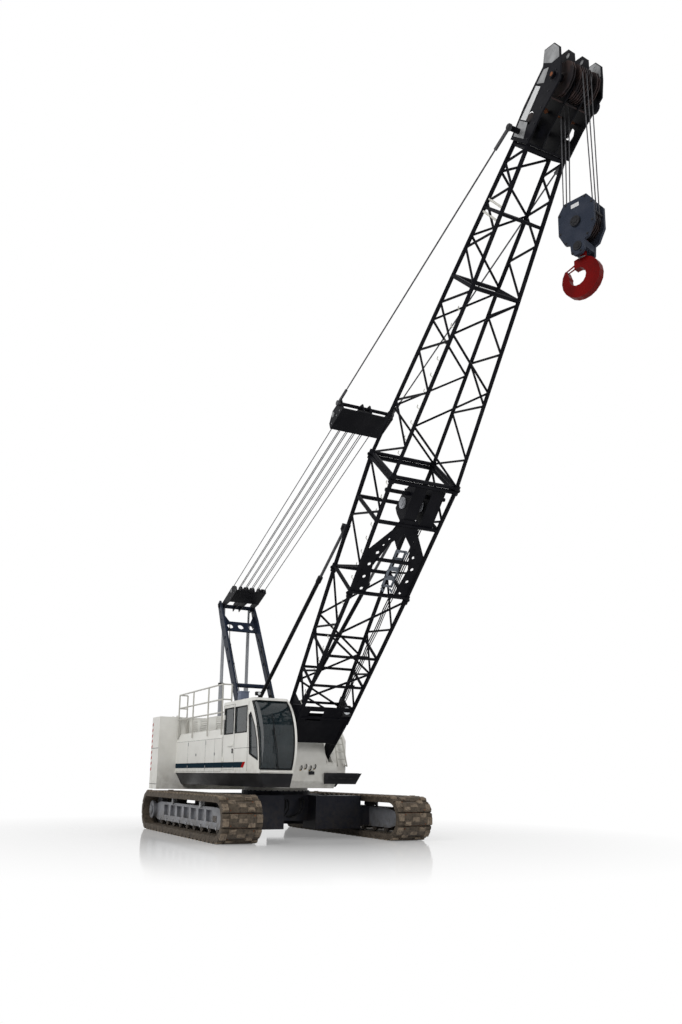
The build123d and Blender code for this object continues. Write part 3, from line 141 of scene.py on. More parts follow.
# one row for each plain finish: colour, its worn shade, dust colour, dust top, roughness, metal, grain size
finishes = {
    "paintCream": ((0.74, 0.73, 0.69), (0.65, 0.64, 0.595), (0.36, 0.33, 0.28), 1.9, 0.34, 0.0, 5.0),
    "paintDark": ((0.022, 0.022, 0.024), (0.04, 0.04, 0.043), (0.14, 0.12, 0.10), 1.3, 0.32, 0.0, 6.0),
    "paintBoom": ((0.004, 0.004, 0.006), (0.009, 0.009, 0.011), (0.05, 0.05, 0.05), 0.5, 0.42, 0.0, 8.0),
    "paintGrey": ((0.30, 0.31, 0.33), (0.22, 0.225, 0.24), (0.2, 0.18, 0.16), 0.5, 0.38, 0.0, 7.0),
    "frameSteel": ((0.25, 0.26, 0.285), (0.13, 0.135, 0.15), (0.10, 0.085, 0.07), 0.85, 0.40, 0.35, 6.0),
    "rollerSteel": ((0.045, 0.044, 0.046), (0.11, 0.10, 0.09), (0.17, 0.14, 0.11), 0.9, 0.5, 0.6, 11.0),
    "sheaveIron": ((0.025, 0.022, 0.024), (0.07, 0.045, 0.04), (0.1, 0.09, 0.08), 0.2, 0.48, 0.5, 14.0),
    "ropeSteel": ((0.10, 0.10, 0.105), (0.05, 0.05, 0.055), (0.1, 0.1, 0.1), 0.1, 0.45, 0.8, 40.0),
    "railWhite": ((0.50, 0.49, 0.45), (0.40, 0.39, 0.35), (0.25, 0.23, 0.20), 0.5, 0.35, 0.0, 9.0),
    "hookRed": ((0.13, 0.003, 0.003), (0.085, 0.003, 0.003), (0.2, 0.05, 0.04), 0.5, 0.36, 0.0, 9.0),
    "blockBlue": ((0.022, 0.027, 0.040), (0.04, 0.045, 0.06), (0.1, 0.1, 0.1), 0.5, 0.4, 0.0, 8.0),
    "engineIron": ((0.16, 0.16, 0.15), (0.10, 0.10, 0.10), (0.1, 0.09, 0.08), 0.5, 0.5, 0.5, 8.0),
    "seatCloth": ((0.03, 0.03, 0.035), (0.05, 0.05, 0.055), (0.05, 0.05, 0.05), 0.1, 0.85, 0.0, 60.0),
    "consolePlastic": ((0.05, 0.05, 0.055), (0.035, 0.035, 0.04), (0.05, 0.05, 0.05), 0.1, 0.55, 0.0, 30.0),
    "labelGrey": ((0.52, 0.525, 0.53), (0.44, 0.445, 0.45), (0.3, 0.3, 0.3), 0.2, 0.35, 0.0, 12.0),
    "earSilver": ((0.33, 0.335, 0.34), (0.16, 0.16, 0.165), (0.2, 0.2, 0.2), 0.2, 0.36, 0.6, 10.0),
    "gantryBlue": ((0.014, 0.020, 0.036), (0.03, 0.036, 0.05), (0.05, 0.05, 0.05), 0.3, 0.3, 0.0, 7.0),
    "bodyBlue": ((0.016, 0.018, 0.026), (0.024, 0.025, 0.032), (0.04, 0.036, 0.034), 1.2, 0.36, 0.0, 7.0),
    "armBlue": ((0.15, 0.17, 0.20), (0.09, 0.10, 0.12), (0.1, 0.1, 0.1), 0.2, 0.4, 0.0, 9.0),
    "rustBrown": ((0.20, 0.075, 0.035), (0.10, 0.045, 0.03), (0.1, 0.07, 0.05), 0.2, 0.75, 0.0, 20.0),
    "lampClear": ((0.62, 0.64, 0.66), (0.5, 0.52, 0.54), (0.4, 0.4, 0.4), 0.2, 0.12, 0.3, 20.0),
    "lampRed": ((0.45, 0.02, 0.015), (0.3, 0.02, 0.015), (0.2, 0.05, 0.04), 0.2, 0.2, 0.0, 20.0),
    "roofBlue": ((0.13, 0.15, 0.21), (0.10, 0.115, 0.16), (0.3, 0.3, 0.3), 0.2, 0.45, 0.0, 9.0),
    "hoseBlack": ((0.012, 0.012, 0.013), (0.03, 0.03, 0.03), (0.05, 0.05, 0.05), 0.3, 0.55, 0.0, 40.0),
    "brassFitting": ((0.45, 0.33, 0.14), (0.28, 0.2, 0.1), (0.2, 0.15, 0.1), 0.2, 0.35, 0.8, 30.0),
    "rubberBlack": ((0.015, 0.015, 0.016), (0.03, 0.03, 0.03), (0.06, 0.055, 0.05), 0.4, 0.7, 0.0, 30.0),
}


def plainFinish(name):
    color, worn, dust, dustTop, rough, metal, grain = finishes[name]
    mat, tree, shader = newMaterial(name)
    coords, axes = objectCoords(tree)
    patches = remap(tree, noise(tree, coords, grain * 0.35), 0.42, 0.72)
    base = mixColor(tree, patches, color, worn)
    low = remap(tree, axes[2], dustTop, dustTop * 0.35)
    streaks = remap(tree, noise(tree, coords, grain, 6.0, 0.7), 0.35, 0.7)
    base = mixColor(tree, compute(tree, low, streaks), base, dust)
    tree.links.new(base, shader.inputs["Base Color"])
    shine = 0.06 if min(color) < 0.05 else 0.28  # dark paint shines less
    setInputs(shader, {"Metallic": metal, "Specular IOR Level": shine})
    fine = noise(tree, coords, grain * 4.0, 3.0)
    tree.links.new(remap(tree, fine, 0.3, 0.7, rough - 0.06, rough + 0.10), shader.inputs["Roughness"])
    addBump(tree, shader, fine, 0.08, 0.004)
    return mat


looks = {name: plainFinish(name) for name in finishes}

# track shoes: worn tan soil over brown steel; the tracks inside the loop get the same finish made darker, as
# painted shade
shoeLook = {"soil": (0.135, 0.104, 0.074), "pale": (0.235, 0.185, 0.135), "steel": (0.040, 0.032, 0.027)}


def shoeMaterial(name, share):
    mat, tree, shader = newMaterial(name)
    soil, pale, steel = (tuple(share * part for part in shoeLook[key]) for key in ("soil", "pale", "steel"))
    coords = objectCoords(tree)[0]
    clumps = remap(tree, noise(tree, coords, 6.0, 6.0, 0.7), 0.38, 0.66)
    base = mixColor(tree, clumps, soil, pale)
    bare = remap(tree, noise(tree, coords, 17.0, 5.0, 0.65), 0.50, 0.68)
    base = mixColor(tree, bare, base, steel)
    tree.links.new(base, shader.inputs["Base Color"])
    shader.inputs["Roughness"].default_value = 0.82
    addBump(tree, shader, noise(tree, coords, 30.0, 8.0, 0.75), 0.5, 0.02)
    return mat


looks["shoeSoil"] = shoeMaterial("shoeSoil", 1.0)
# the same soil finish at 0.42 of its brightness: painted shade inside the track loop
looks["shoePaintedShade"] = shoeMaterial("shoePaintedShade", 0.42)

# body paint with the navy stripe and its slanted red end
stripe = {"low": 1.635, "high": 1.768, "end": 1.95, "redLength": 0.17, "outside": 1.585,
          "navy": (0.014, 0.029, 0.042), "red": (0.36, 0.012, 0.012)}


def stripedPaint():
    mat, tree, shader = newMaterial("paintStriped")
    coords, axes = objectCoords(tree)
    patches = remap(tree, noise(tree, coords, 1.6), 0.42, 0.72)
    base = mixColor(tree, patches, (0.76, 0.755, 0.715), (0.70, 0.69, 0.65))
    low = remap(tree, axes[2], 1.95, 1.45)
    streaks = remap(tree, noise(tree, coords, 5.0, 6.0, 0.7), 0.4, 0.75)
    base = mixColor(tree, compute(tree, low, streaks), base, (0.48, 0.45, 0.39))
    above = compute(tree, axes[2], stripe["low"], "GREATER_THAN")
    below = compute(tree, axes[2], stripe["high"], "LESS_THAN")
    band = compute(tree, above, below)
    side = compute(tree, compute(tree, axes[1], 0.0, "ABSOLUTE"), stripe["outside"], "GREATER_THAN")
    band = compute(tree, band, side)
    lean = compute(tree, axes[0], compute(tree, axes[2], -1.0, "MULTIPLY"), "ADD")
    navyEnd = compute(tree, lean, stripe["end"] - stripe["high"] - stripe["redLength"], "LESS_THAN")
    redEnd = compute(tree, lean, stripe["end"] - stripe["high"], "LESS_THAN")
    base = mixColor(tree, compute(tree, band, redEnd), base, stripe["red"])
    base = mixColor(tree, compute(tree, band, navyEnd), base, stripe["navy"])
    tree.links.new(base, shader.inputs["Base Color"])
    shader.inputs["Roughness"].default_value = 0.32
    sheen = remap(tree, compute(tree, band, redEnd), 0.0, 1.0, 0.10, 0.0)
    tree.links.new(sheen, shader.inputs["Specular IOR Level"])
    addBump(tree, shader, noise(tree, coords, 22.0, 3.0), 0.05, 0.004)
    return mat


looks["paintStriped"] = stripedPaint()


def glassMaterial():
    mat, tree, shader = newMaterial("tintedGlass")
    coords = objectCoords(tree)[0]
    haze = remap(tree, noise(tree, coords, 3.0, 5.0), 0.35, 0.8, 0.0, 0.5)
    tint = mixColor(tree, haze, (0.008, 0.016, 0.020), (0.03, 0.045, 0.052))
    tree.links.new(tint, shader.inputs["Base Color"])
    setInputs(shader, {"Roughness": 0.04, "Alpha": 0.70, "Coat Weight": 0.2, "Coat Roughness": 0.03})
    return mat


looks["tintedGlass"] = glassMaterial()

nodeLooks = {
    "bodyBlue": "carbody",
    "frameSteel": "track_frame_right track_frame_left drive_sprocket_right drive_sprocket_left",
    # the tracks get the darker copy of the soil finish, painted shade
    "shoePaintedShade": "track_right track_left",
    "rollerSteel": "track_wheels_right track_wheels_left",
    "paintCream": "deck counterweight_lower counterweight_middle counterweight_upper",
    "paintDark": "side_skirts step_box exhaust_stack",
    "paintStriped": "machinery_house engine_house cab_shell cab_door",
    "engineIron": "engine_block",
    "tintedGlass": "cab_glass cab_door_glass",
    "seatCloth": "operator_seat",
    "consolePlastic": "cab_console",
    "railWhite": "roof_handrail side_ladder",
    "gantryBlue": "gantry",
    "paintGrey": "gantry_struts hoist_winches luffing_winch",
    "paintBoom": "boom_butt boom_frame boom_top boom_head boom_stop_tubes gantry_bail bridle",
    "sheaveIron": "head_sheaves block_sheaves",
    "ropeSteel": "boom_stop_rods pendants hoist_falls",
    "blockBlue": "hook_block",
    "hookRed": "hook",
}
for lookName, nodeNames in nodeLooks.items():
    for nodeName in nodeNames.split():
        nodes[nodeName].data.materials.clear()
        nodes[nodeName].data.materials.append(looks[lookName])
print("materials set")


# mesh tools
def savePiece(name, bm, look, body, smoothAngle=35.0):
    bmesh.ops.recalc_face_normals(bm, faces=bm.faces)
    mesh = bpy.data.meshes.new(name)
    bm.to_mesh(mesh)
    bm.clear()
    piece = bpy.data.objects.new(name, mesh)
    bpy.context.scene.collection.objects.link(piece)
    mesh.materials.append(looks[look])
    mesh.shade_smooth()
    mesh.set_sharp_from_angle(angle=math.radians(smoothAngle))
    if body:
        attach(piece, body)
    return piece


def alongZ(start, end):
    run = end - start
    turn = run.to_track_quat("Z", "Y").to_matrix().to_4x4()
    return Matrix.Translation((start + end) / 2) @ turn, run.length


def addRod(bm, start, end, radius, sides, endRadius=None):
    place, length = alongZ(Vector(start), Vector(end))
    bmesh.ops.create_cone(bm, cap_ends=True, segments=sides, radius1=radius,
                          radius2=radius if endRadius is None else endRadius, depth=length, matrix=place)


def addAxle(bm, place, start, end, radius, sides, endRadius=None):  # a rod along y
    place = Vector(place)
    addRod(bm, place + Vector((0, start, 0)), place + Vector((0, end, 0)), radius, sides, endRadius)


def addBlock(bm, low, high, bevel=0.0):
    low, high = Vector(low), Vector(high)
    place = Matrix.Translation((low + high) / 2) @ Matrix.Diagonal((*(high - low), 1.0))
    made = bmesh.ops.create_cube(bm, size=1.0, matrix=place)
    if bevel:
        edges = {edge for vert in made["verts"] for edge in vert.link_edges}
        bmesh.ops.bevel(bm, geom=list(edges), offset=bevel, offset_type="OFFSET", segments=2,
                        profile=0.5, affect="EDGES", material=-1)


def addPath(bm, points, radius, sides, closed=False):
    ends = points[1:] + (points[:1] if closed else [])
    for start, end in zip(points, ends):
        if (Vector(end) - Vector(start)).length > 1e-4:
            addRod(bm, start, end, radius, sides)


def circle(count):
    turns = [2 * math.pi * k / count for k in range(count)]
    return [(math.cos(turn), math.sin(turn)) for turn in turns]


def addBolt(bm, place, direction, radius, height):
    place, direction = Vector(place), Vector(direction).normalized()
    addRod(bm, place, place + direction * height, radius, 6)
    addRod(bm, place - direction * 0.002, place + direction * 0.003, radius * 1.6, 10)


def addPin(bm, place, direction, radius, height):
    place, direction = Vector(place), Vector(direction).normalized()
    addRod(bm, place, place + direction * height, radius, 16)
    tip = place + direction * height
    addRod(bm, tip, tip + direction * 0.008, radius * 0.8, 16, radius * 0.6)
    addRod(bm, place, place + direction * 0.012, radius * 1.45, 16)


def addSlab(bm, outline, normal, thickness):  # outline: points in space, in order
    base = bm.faces.new([bm.verts.new(point) for point in outline])
    grown = bmesh.ops.extrude_face_region(bm, geom=[base])["geom"]
    bmesh.ops.translate(bm, vec=Vector(normal) * thickness,
                        verts=[part for part in grown if isinstance(part, bmesh.types.BMVert)])


# ropes
bm = bmesh.new()  # every piece is made in this mesh, which savePiece empties
reeving = {"start": 0.85, "end": 8.50, "places": (-0.38, -0.19, 0.0, 0.19, 0.38), "radius": 0.011,
           "lift": 0.183}
for across in reeving["places"]:
    for lift in (-reeving["lift"], reeving["lift"]):
        addRod(bm, onLine(reeving["start"], across, lift), onLine(reeving["end"], across, lift),
               reeving["radius"], 6)
bmesh.ops.subdivide_edges(bm, edges=[e for e in bm.edges if e.calc_length() > 1.0], cuts=6)
ropes = savePiece("luffing_ropes", bm, "ropeSteel", None)
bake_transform(ropes)

headShaft = onShaft(0)
block = {"center": headShaft - Vector((0, 0, 2.54)), "turn": 16.7, "shaftDrop": 0.069, "radius": 0.28,
         "places": (-0.09, 0.0, 0.09), "groove": 0.024, "rope": 0.010, "face": 0.1752}
blockFore = Vector((math.cos(math.radians(block["turn"])), math.sin(math.radians(block["turn"])), 0))
blockSide = Vector((-blockFore.y, blockFore.x, 0))


def onBlock(fore, across, rise):
    return block["center"] + blockFore * fore + blockSide * across + Vector((0, 0, rise))


for across in block["places"]:
    for fore in (-1, 1):
        reach = fore * (block["radius"] - block["groove"] + block["rope"])
        addRod(bm, onBlock(reach, across, -block["shaftDrop"]), headShaft + Vector((reach, across, 0)),
               block["rope"], 8)
bmesh.ops.subdivide_edges(bm, edges=[e for e in bm.edges if e.calc_length() > 1.0], cuts=4)
falls = savePiece("fall_ropes", bm, "ropeSteel", None)
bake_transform(falls)
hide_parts("hoist_falls")
print("ropes made")

# tracks: pads, bolts and link pins on every shoe
track = {"gauge": 4.286, "height": 1.03, "length": 6.84, "shoes": 50, "shift": 0.05, "lug": 0.042,
         "plate": 0.046}
pitchRadius = track["height"] / 2 - track["lug"] - track["plate"]
straight = track["length"] - track["height"]
arcLength = math.pi * pitchRadius
loopLength = 2 * (straight + arcLength)


def loopFrame(travel):
    travel = travel % loopLength
    mid = track["height"] / 2
    if travel < straight:
        return Vector((travel - straight / 2, 0, mid)), Vector((0, 0, 1))
    travel -= straight
    if travel < arcLength:
        turn = travel / pitchRadius
        return Vector((straight / 2, 0, mid)), Vector((math.sin(turn), 0, math.cos(turn)))
    travel -= arcLength
    if travel < straight:
        return Vector((straight / 2 - travel, 0, mid)), Vector((0, 0, -1))
    turn = (travel - straight) / pitchRadius
    return Vector((-straight / 2, 0, mid)), Vector((-math.sin(turn), 0, -math.cos(turn)))


def shoeBlock(bm, origin, out, across, size, low, high, shift, taper):
    fore = Vector((out.z, 0, -out.x))
    for vert in bmesh.ops.create_cube(bm, size=2.0)["verts"]:
        sx, sy, top = vert.co.x / 2, vert.co.y / 2, vert.co.z > 0
        scale = taper if top else 1.0
        vert.co = origin + out * (high if top else low) + fore * (shift + sx * size[0] * scale)
        vert.co.y += across + sy * size[1] * scale
        vert.co.z = max(vert.co.z, pad["ground"])


pad = {"ground": 0.002, "sink": 0.004, "size": (0.175, 0.150), "across": 0.380, "stagger": 0.040,
       "rise": 0.040, "taper": 0.86, "inner": (0.100, 0.165), "innerAcross": 0.205, "innerShift": 0.092,
       "middle": (0.105, 0.20), "middleRise": 0.0418, "middleTaper": 0.9, "bolt": 0.012,
       "boltAcross": 0.27, "boltShift": 0.105, "link": 0.017, "linkHalf": 0.235}
for sideName, side in (("right", -1), ("left", 1)):
    bolts = bmesh.new()
    center = side * track["gauge"] / 2
    shoePitch = loopLength / track["shoes"]
    for index in range(track["shoes"]):
        origin, out = loopFrame((index + 0.5) * shoePitch + track["shift"])
        surface = pitchRadius + track["plate"]
        fore = Vector((out.z, 0, -out.x))
        for end in (-1, 1):
            shift = pad["stagger"] * end * side
            shoeBlock(bm, origin, out, center + end * pad["across"], pad["size"], surface - pad["sink"],
                      surface + pad["rise"], shift, pad["taper"])
            shoeBlock(bm, origin, out, center + end * pad["innerAcross"], pad["inner"], surface - pad["sink"],
                      surface + pad["rise"], -end * side * pad["innerShift"], pad["taper"])
            for step in (-1, 1):
                spot = origin + out * surface + fore * (step * pad["boltShift"])
                spot = spot + Vector((0, center + end * pad["boltAcross"], 0))
                addRod(bolts, spot - out * 0.003, spot + out * pad["bolt"], 0.015, 6)
        shoeBlock(bm, origin, out, center, pad["middle"], surface - pad["sink"],
                  surface + pad["middleRise"], 0.0, pad["middleTaper"])
        middle = origin + out * (pitchRadius - 0.03) + fore * (shoePitch / 2)
        addAxle(bolts, middle, center - pad["linkHalf"], center + pad["linkHalf"], pad["link"], 6)
    savePiece("shoe_pads_" + sideName, bm, "shoeSoil", "undercarriage", 20.0)
    savePiece("shoe_bolts_" + sideName, bolts, "rustBrown", "undercarriage")

# side frames: gear case bolts, idler pins, roller caps, adjuster covers
frameBits = {"face": 0.215, "rollers": 9, "rollerEnds": 0.61, "capDrop": 0.115, "braces": (-1.15, 1.15),
             "braceZ": 0.855, "cover": ((2.02, 0.42), (2.30, 0.56)),
             "rings": ((14, 0.2021, 0.090, (0.012, 0.012)), (8, 0.09, 0.120, (0.009, 0.010)))}
axleZ = track["height"] / 2
innerRadius = pitchRadius - 0.07
wheelX = straight / 2
dark = bmesh.new()
for side in (-1, 1):
    center = side * track["gauge"] / 2
    face = center + side * frameBits["face"]
    out = (0, side, 0)
    for count, radius, stand, bolt in frameBits["rings"]:
        for c, s in circle(count):
            addBolt(bm, (-wheelX + radius * c, face + side * stand, axleZ + radius * s), out, *bolt)
    addPin(bm, (wheelX, face, axleZ), out, 0.075, 0.018)
    for index in range(frameBits["rollers"]):
        span = wheelX - frameBits["rollerEnds"]
        x = -span + 2 * span * index / (frameBits["rollers"] - 1)
        low = axleZ - innerRadius + frameBits["capDrop"]
        addAxle(bm, (x, face, low + 0.02), -side * 0.002, side * 0.012, 0.040, 12)
        for step in (-0.07, 0.07):
            addBolt(bm, (x + step, face, low + 0.055), out, 0.010, 0.010)
    for x in frameBits["braces"]:
        z = frameBits["braceZ"]
        addRod(bm, (x, face - side * 0.01, z), (x, center + side * 0.10, z), 0.022, 10)
        addBlock(bm, (x - 0.05, face - 0.035, 0.70), (x + 0.05, face + 0.035 - side * 0.03, 0.885), 0.008)
    (rear, low), (fore, high) = frameBits["cover"]
    addBlock(dark, (rear, face - 0.006, low), (fore, face + 0.006, high), 0.004)
    for x in (rear + 0.03, fore - 0.03):
        for z in (low + 0.025, high - 0.025):
            addBolt(bm, (x, face + side * 0.006, z), out, 0.008, 0.008)
savePiece("frame_fittings", bm, "earSilver", "undercarriage")
savePiece("frame_covers", dark, "rollerSteel", "undercarriage")

# car body: bolts of the slewing ring and the axle boxes, hoses of the travel drives
carbody = {"ringBolts": 36, "ringRadius": 0.852, "ringTop": 1.090, "boxFace": 1.56, "hose": 0.019,
           "boltLevels": (0.34, 0.86), "boltPlaces": (0.55, 0.98, 1.42),
           "run": ((1.10, 0.0, 0.93), (1.24, -0.02, 0.86), (1.30, -0.05, 0.72), (1.26, -0.12, 0.58),
                   (1.16, -0.22, 0.50), (1.09, -0.34, 0.49)),
           "hoses": ((-0.30, 0.0), (-0.22, 0.03), (-0.14, 0.05), (0.18, 0.02), (0.26, 0.0))}
for c, s in circle(carbody["ringBolts"]):
    spot = (carbody["ringRadius"] * c, carbody["ringRadius"] * s, carbody["ringTop"])
    addBolt(bm, spot, (0, 0, 1), 0.013, 0.016)
for end in (-1, 1):
    for side in (-1, 1):
        for z in carbody["boltLevels"]:
            for across in carbody["boltPlaces"]:
                addBolt(bm, (end * carbody["boxFace"], side * across, z), (end, 0, 0), 0.020, 0.016)
savePiece("carbody_bolts", bm, "bodyBlue", "undercarriage")
for across, drop in carbody["hoses"]:
    points = [(x, across + y, z - drop) for x, y, z in carbody["run"][:-1]]
    x, y, z = carbody["run"][-1]  # the last point lies on the drive, so it doesn't drop
    addPath(bm, points + [(x, across + y, z)], carbody["hose"], 8)
savePiece("travel_hoses", bm, "hoseBlack", "undercarriage")
print("undercarriage dressed")

# cab: seals round the glass, door handle, wiper, seams, roof box, lamp and levers
cab = {"near": -1.600, "far": -0.775, "toe": 2.86, "nose": 3.04, "brow": 2.38, "noseZ": 2.25, "low": 1.51,
       "high": 3.24, "seal": 0.013}


def circleThrough(a, b, c):
    ax, az, bx, bz, cx, cz = *a, *b, *c
    d = 2 * (ax * (bz - cz) + bx * (cz - az) + cx * (az - bz))
    ux = ((ax**2 + az**2) * (bz - cz) + (bx**2 + bz**2) * (cz - az) + (cx**2 + cz**2) * (az - bz)) / d
    uz = ((ax**2 + az**2) * (cx - bx) + (bx**2 + bz**2) * (ax - cx) + (cx**2 + cz**2) * (bx - ax)) / d
    return ux, uz, math.hypot(ax - ux, az - uz)


def arcPoints(a, b, c, count):
    ux, uz, radius = circleThrough(a, b, c)
    start = math.atan2(a[1] - uz, a[0] - ux)
    end = math.atan2(c[1] - uz, c[0] - ux)
    return [(ux + radius * math.cos(start + (end - start) * k / count),
             uz + radius * math.sin(start + (end - start) * k / count)) for k in range(count + 1)]


noseX, noseZ, noseR = circleThrough((cab["toe"], cab["low"]), (cab["nose"], cab["noseZ"]),
                                    (cab["brow"], cab["high"]))


def frontX(z):
    return noseX + math.sqrt(noseR ** 2 - (z - noseZ) ** 2)


near = cab["near"] - 0.001
windows = {"rear": ((1.168, 2.4585), (1.978, 2.4585), (1.978, 3.0715), (1.168, 3.0715)),
           "corner": ((2.11, 2.84), (2.215, 2.90), (2.50, 2.56), (2.662, 2.217), (2.735, 1.80),
                      (2.20, 1.945)),
           "inner": ((0.85, 2.395), (2.15, 2.395), (2.15, 3.015), (0.85, 3.015)),
           "door": ((0.405, 2.4525), (1.065, 2.4525), (1.065, 3.0775), (0.405, 3.0775)),
           "shieldLow": 1.595, "shieldHigh": 3.15, "shieldFar": -0.84, "pillarTop": 2.29, "inset": 0.004}


def addSeal(outline, y, closed=True):
    addPath(bm, [(x, y, z) for x, z in outline], cab["seal"], 6, closed)


def shieldX(z):
    return frontX(z) - windows["inset"]


addSeal(windows["rear"], near)
addSeal(windows["corner"], near)
shieldLow, shieldHigh, shieldFar = (windows[key] for key in ("shieldLow", "shieldHigh", "shieldFar"))
pillarTop = (windows["pillarTop"], shieldHigh)
addSeal(arcPoints((2.86, shieldLow), (2.775, 2.217), pillarTop, 14), near, False)
addSeal([pillarTop, (frontX(shieldHigh) - 0.02, shieldHigh)], near, False)
for z in (shieldLow, shieldHigh):
    addPath(bm, [(shieldX(z), near, z), (shieldX(z), shieldFar, z)], cab["seal"], 6)
levels = [shieldLow + k * (shieldHigh - shieldLow) / 12 for k in range(13)]
addSeal([(shieldX(z), z) for z in levels], shieldFar, False)
addSeal(windows["inner"], cab["far"] + 0.001)
savePiece("cab_seals", bm, "rubberBlack", "upper")

addSeal(windows["door"], near)
addBlock(bm, (1.00, cab["near"] - 0.012, 1.98), (1.08, cab["near"], 2.09), 0.004)
savePiece("door_seals", bm, "rubberBlack", "door")
addRod(bm, (1.015, -1.6105, 2.035), (1.068, -1.6105, 2.035), 0.010, 8)
for x in (0.385, 1.085):
    for z in (1.66, 3.10):
        addBolt(bm, (x, cab["near"], z), (0, -1, 0), 0.007, 0.006)
savePiece("door_latch", bm, "earSilver", "door")

# wiper: pivot, arm and blade, lying along the curved glass
wiper = {"pivot": (1.66, -1.20), "tip": (2.50, -1.36), "out": 0.022, "steps": 8, "bladeY": -1.33,
         "bladeOut": 0.010, "bladeLow": 1.95, "bladeHigh": 2.85, "bladeSteps": 12}
(pivotZ, pivotY), (tipZ, tipY) = wiper["pivot"], wiper["tip"]
reach = []
for k in range(wiper["steps"] + 1):
    share = k / wiper["steps"]
    z = pivotZ + (tipZ - pivotZ) * share
    reach.append((frontX(z) + wiper["out"] * min(1, k / 2 + 0.3), pivotY + (tipY - pivotY) * share, z))
addPath(bm, reach, 0.009, 6)
blade = []
for k in range(wiper["bladeSteps"] + 1):
    z = wiper["bladeLow"] + (wiper["bladeHigh"] - wiper["bladeLow"]) * k / wiper["bladeSteps"]
    blade.append((frontX(z) + wiper["bladeOut"], wiper["bladeY"], z))
addPath(bm, blade, 0.007, 6)
addRod(bm, (frontX(pivotZ) - 0.02, pivotY, pivotZ), (frontX(pivotZ) + 0.03, pivotY, pivotZ), 0.022, 12)
savePiece("windshield_wiper", bm, "rubberBlack", "upper")

cabSeams = {"depth": 0.0005, "radius": 0.0035, "low": 1.56, "high": 3.16, "doorRear": 0.325,
            "doorFront": 1.145, "belt": 2.09, "pillar": 2.06}
low, high = cabSeams["low"], cabSeams["high"]
rear, fore = cabSeams["doorRear"], cabSeams["doorFront"]
for line in (((fore, low), (fore, high)), ((rear, low), (rear, high)), ((rear, high), (fore, high)),
             ((1.15, cabSeams["belt"]), (2.62, cabSeams["belt"])),
             ((cabSeams["pillar"], low), (cabSeams["pillar"], high))):
    addPath(bm, [(x, cab["near"] - cabSeams["depth"], z) for x, z in line], cabSeams["radius"], 6)
savePiece("cab_seams", bm, "rubberBlack", "upper")

# cream sill below the windshield, grab handle, roof box with its lid, work lamp and horn
sill = {"z": 1.545, "out": 0.004, "ends": (-1.585, -0.80), "radius": 0.022}
addPath(bm, [(frontX(sill["z"]) + sill["out"], y, sill["z"]) for y in sill["ends"]], sill["radius"], 8)
handle = [(2.74, -1.612, 2.30), (2.74, -1.632, 2.30), (2.64, -1.632, 2.55), (2.64, -1.606, 2.55)]
addPath(bm, handle, 0.009, 8)
savePiece("cab_sill", bm, "paintCream", "upper")
addBlock(bm, (0.88, -1.46, 3.2405), (1.10, -1.24, 3.470), 0.014)
addBlock(bm, (0.868, -1.472, 3.465), (1.112, -1.228, 3.492), 0.008)
for z in (3.30, 3.36, 3.42):
    addBlock(bm, (0.91, -1.467, z), (1.07, -1.458, z + 0.025), 0.003)
savePiece("roof_box", bm, "roofBlue", "upper")
addRod(bm, (2.20, -1.42, 3.24), (2.20, -1.42, 3.30), 0.014, 8)
addBlock(bm, (2.15, -1.50, 3.295), (2.235, -1.34, 3.385), 0.012)
addRod(bm, (1.75, -0.95, 3.24), (1.75, -0.95, 3.29), 0.045, 14)
addRod(bm, (1.75, -0.95, 3.29), (1.75, -0.95, 3.37), 0.036, 14, 0.028)
savePiece("cab_roof_fittings", bm, "rubberBlack", "upper")
addRod(bm, (2.233, -1.42, 3.34), (2.243, -1.42, 3.34), 0.034, 16)
savePiece("cab_lamp_lens", bm, "lampClear", "upper")

# inside: two joysticks with their boots, three levers, the display on its stand
for y in (-1.44, -0.94):
    addRod(bm, (1.72, y, 2.16), (1.76, y, 2.34), 0.011, 8)
    addRod(bm, (1.755, y, 2.32), (1.77, y, 2.41), 0.024, 12, 0.019)
    addRod(bm, (1.715, y, 2.145), (1.725, y, 2.20), 0.045, 12, 0.015)
for y in (-1.33, -1.20, -1.07):
    addRod(bm, (2.46, y, 1.66), (2.54, y, 1.93), 0.010, 8)
    addBlock(bm, (2.49, y - 0.045, 1.90), (2.57, y + 0.045, 1.96), 0.008)
addBlock(bm, (2.30, -1.53, 2.20), (2.345, -1.33, 2.42), 0.010)
addRod(bm, (2.35, -1.44, 1.60), (2.33, -1.44, 2.22), 0.014, 8)
savePiece("cab_controls", bm, "rubberBlack", "upper")
print("cab dressed")

# houses: door seams, locks, hinges, grip strips, roof hatches
locks = bmesh.new()
house = {"wall": 1.6006, "rear": -3.72, "low": 1.54, "high": 2.36, "line": 0.0022, "lock": 0.725,
         "lockOut": 0.008, "hinges": (1.66, 2.28), "hingeHalf": Vector((0, 0, 0.045))}
for side, front in ((-1, 0.23), (1, 0.78)):
    wall = side * house["wall"]
    seams = (-2.60, -1.05, -0.30) if side < 0 else (-2.60, -1.05, -0.30, 0.35)
    for x in seams:
        addPath(bm, [(x, wall, house["low"]), (x, wall, house["high"])], house["line"], 6)
    for z in (house["high"] + 0.005, house["low"] + 0.005):
        addPath(bm, [(house["rear"], wall, z), (front, wall, z)], house["line"], 6)
    for x in seams[:-1]:
        rear, outer = x + house["lock"], wall + side * house["lockOut"]
        addBlock(locks, (rear, min(wall, outer), 1.95), (rear + 0.065, max(wall, outer), 2.02), 0.003)
        addAxle(locks, (rear + 0.0325, wall, 1.985), 0, side * 0.014, 0.014, 12)
        for z in house["hinges"]:
            hinge = Vector((x + 0.03, wall + side * 0.006, z))
            addRod(locks, hinge - house["hingeHalf"], hinge + house["hingeHalf"], 0.009, 8)
savePiece("house_seams", bm, "rubberBlack", "upper")
savePiece("house_locks", locks, "earSilver", "upper")

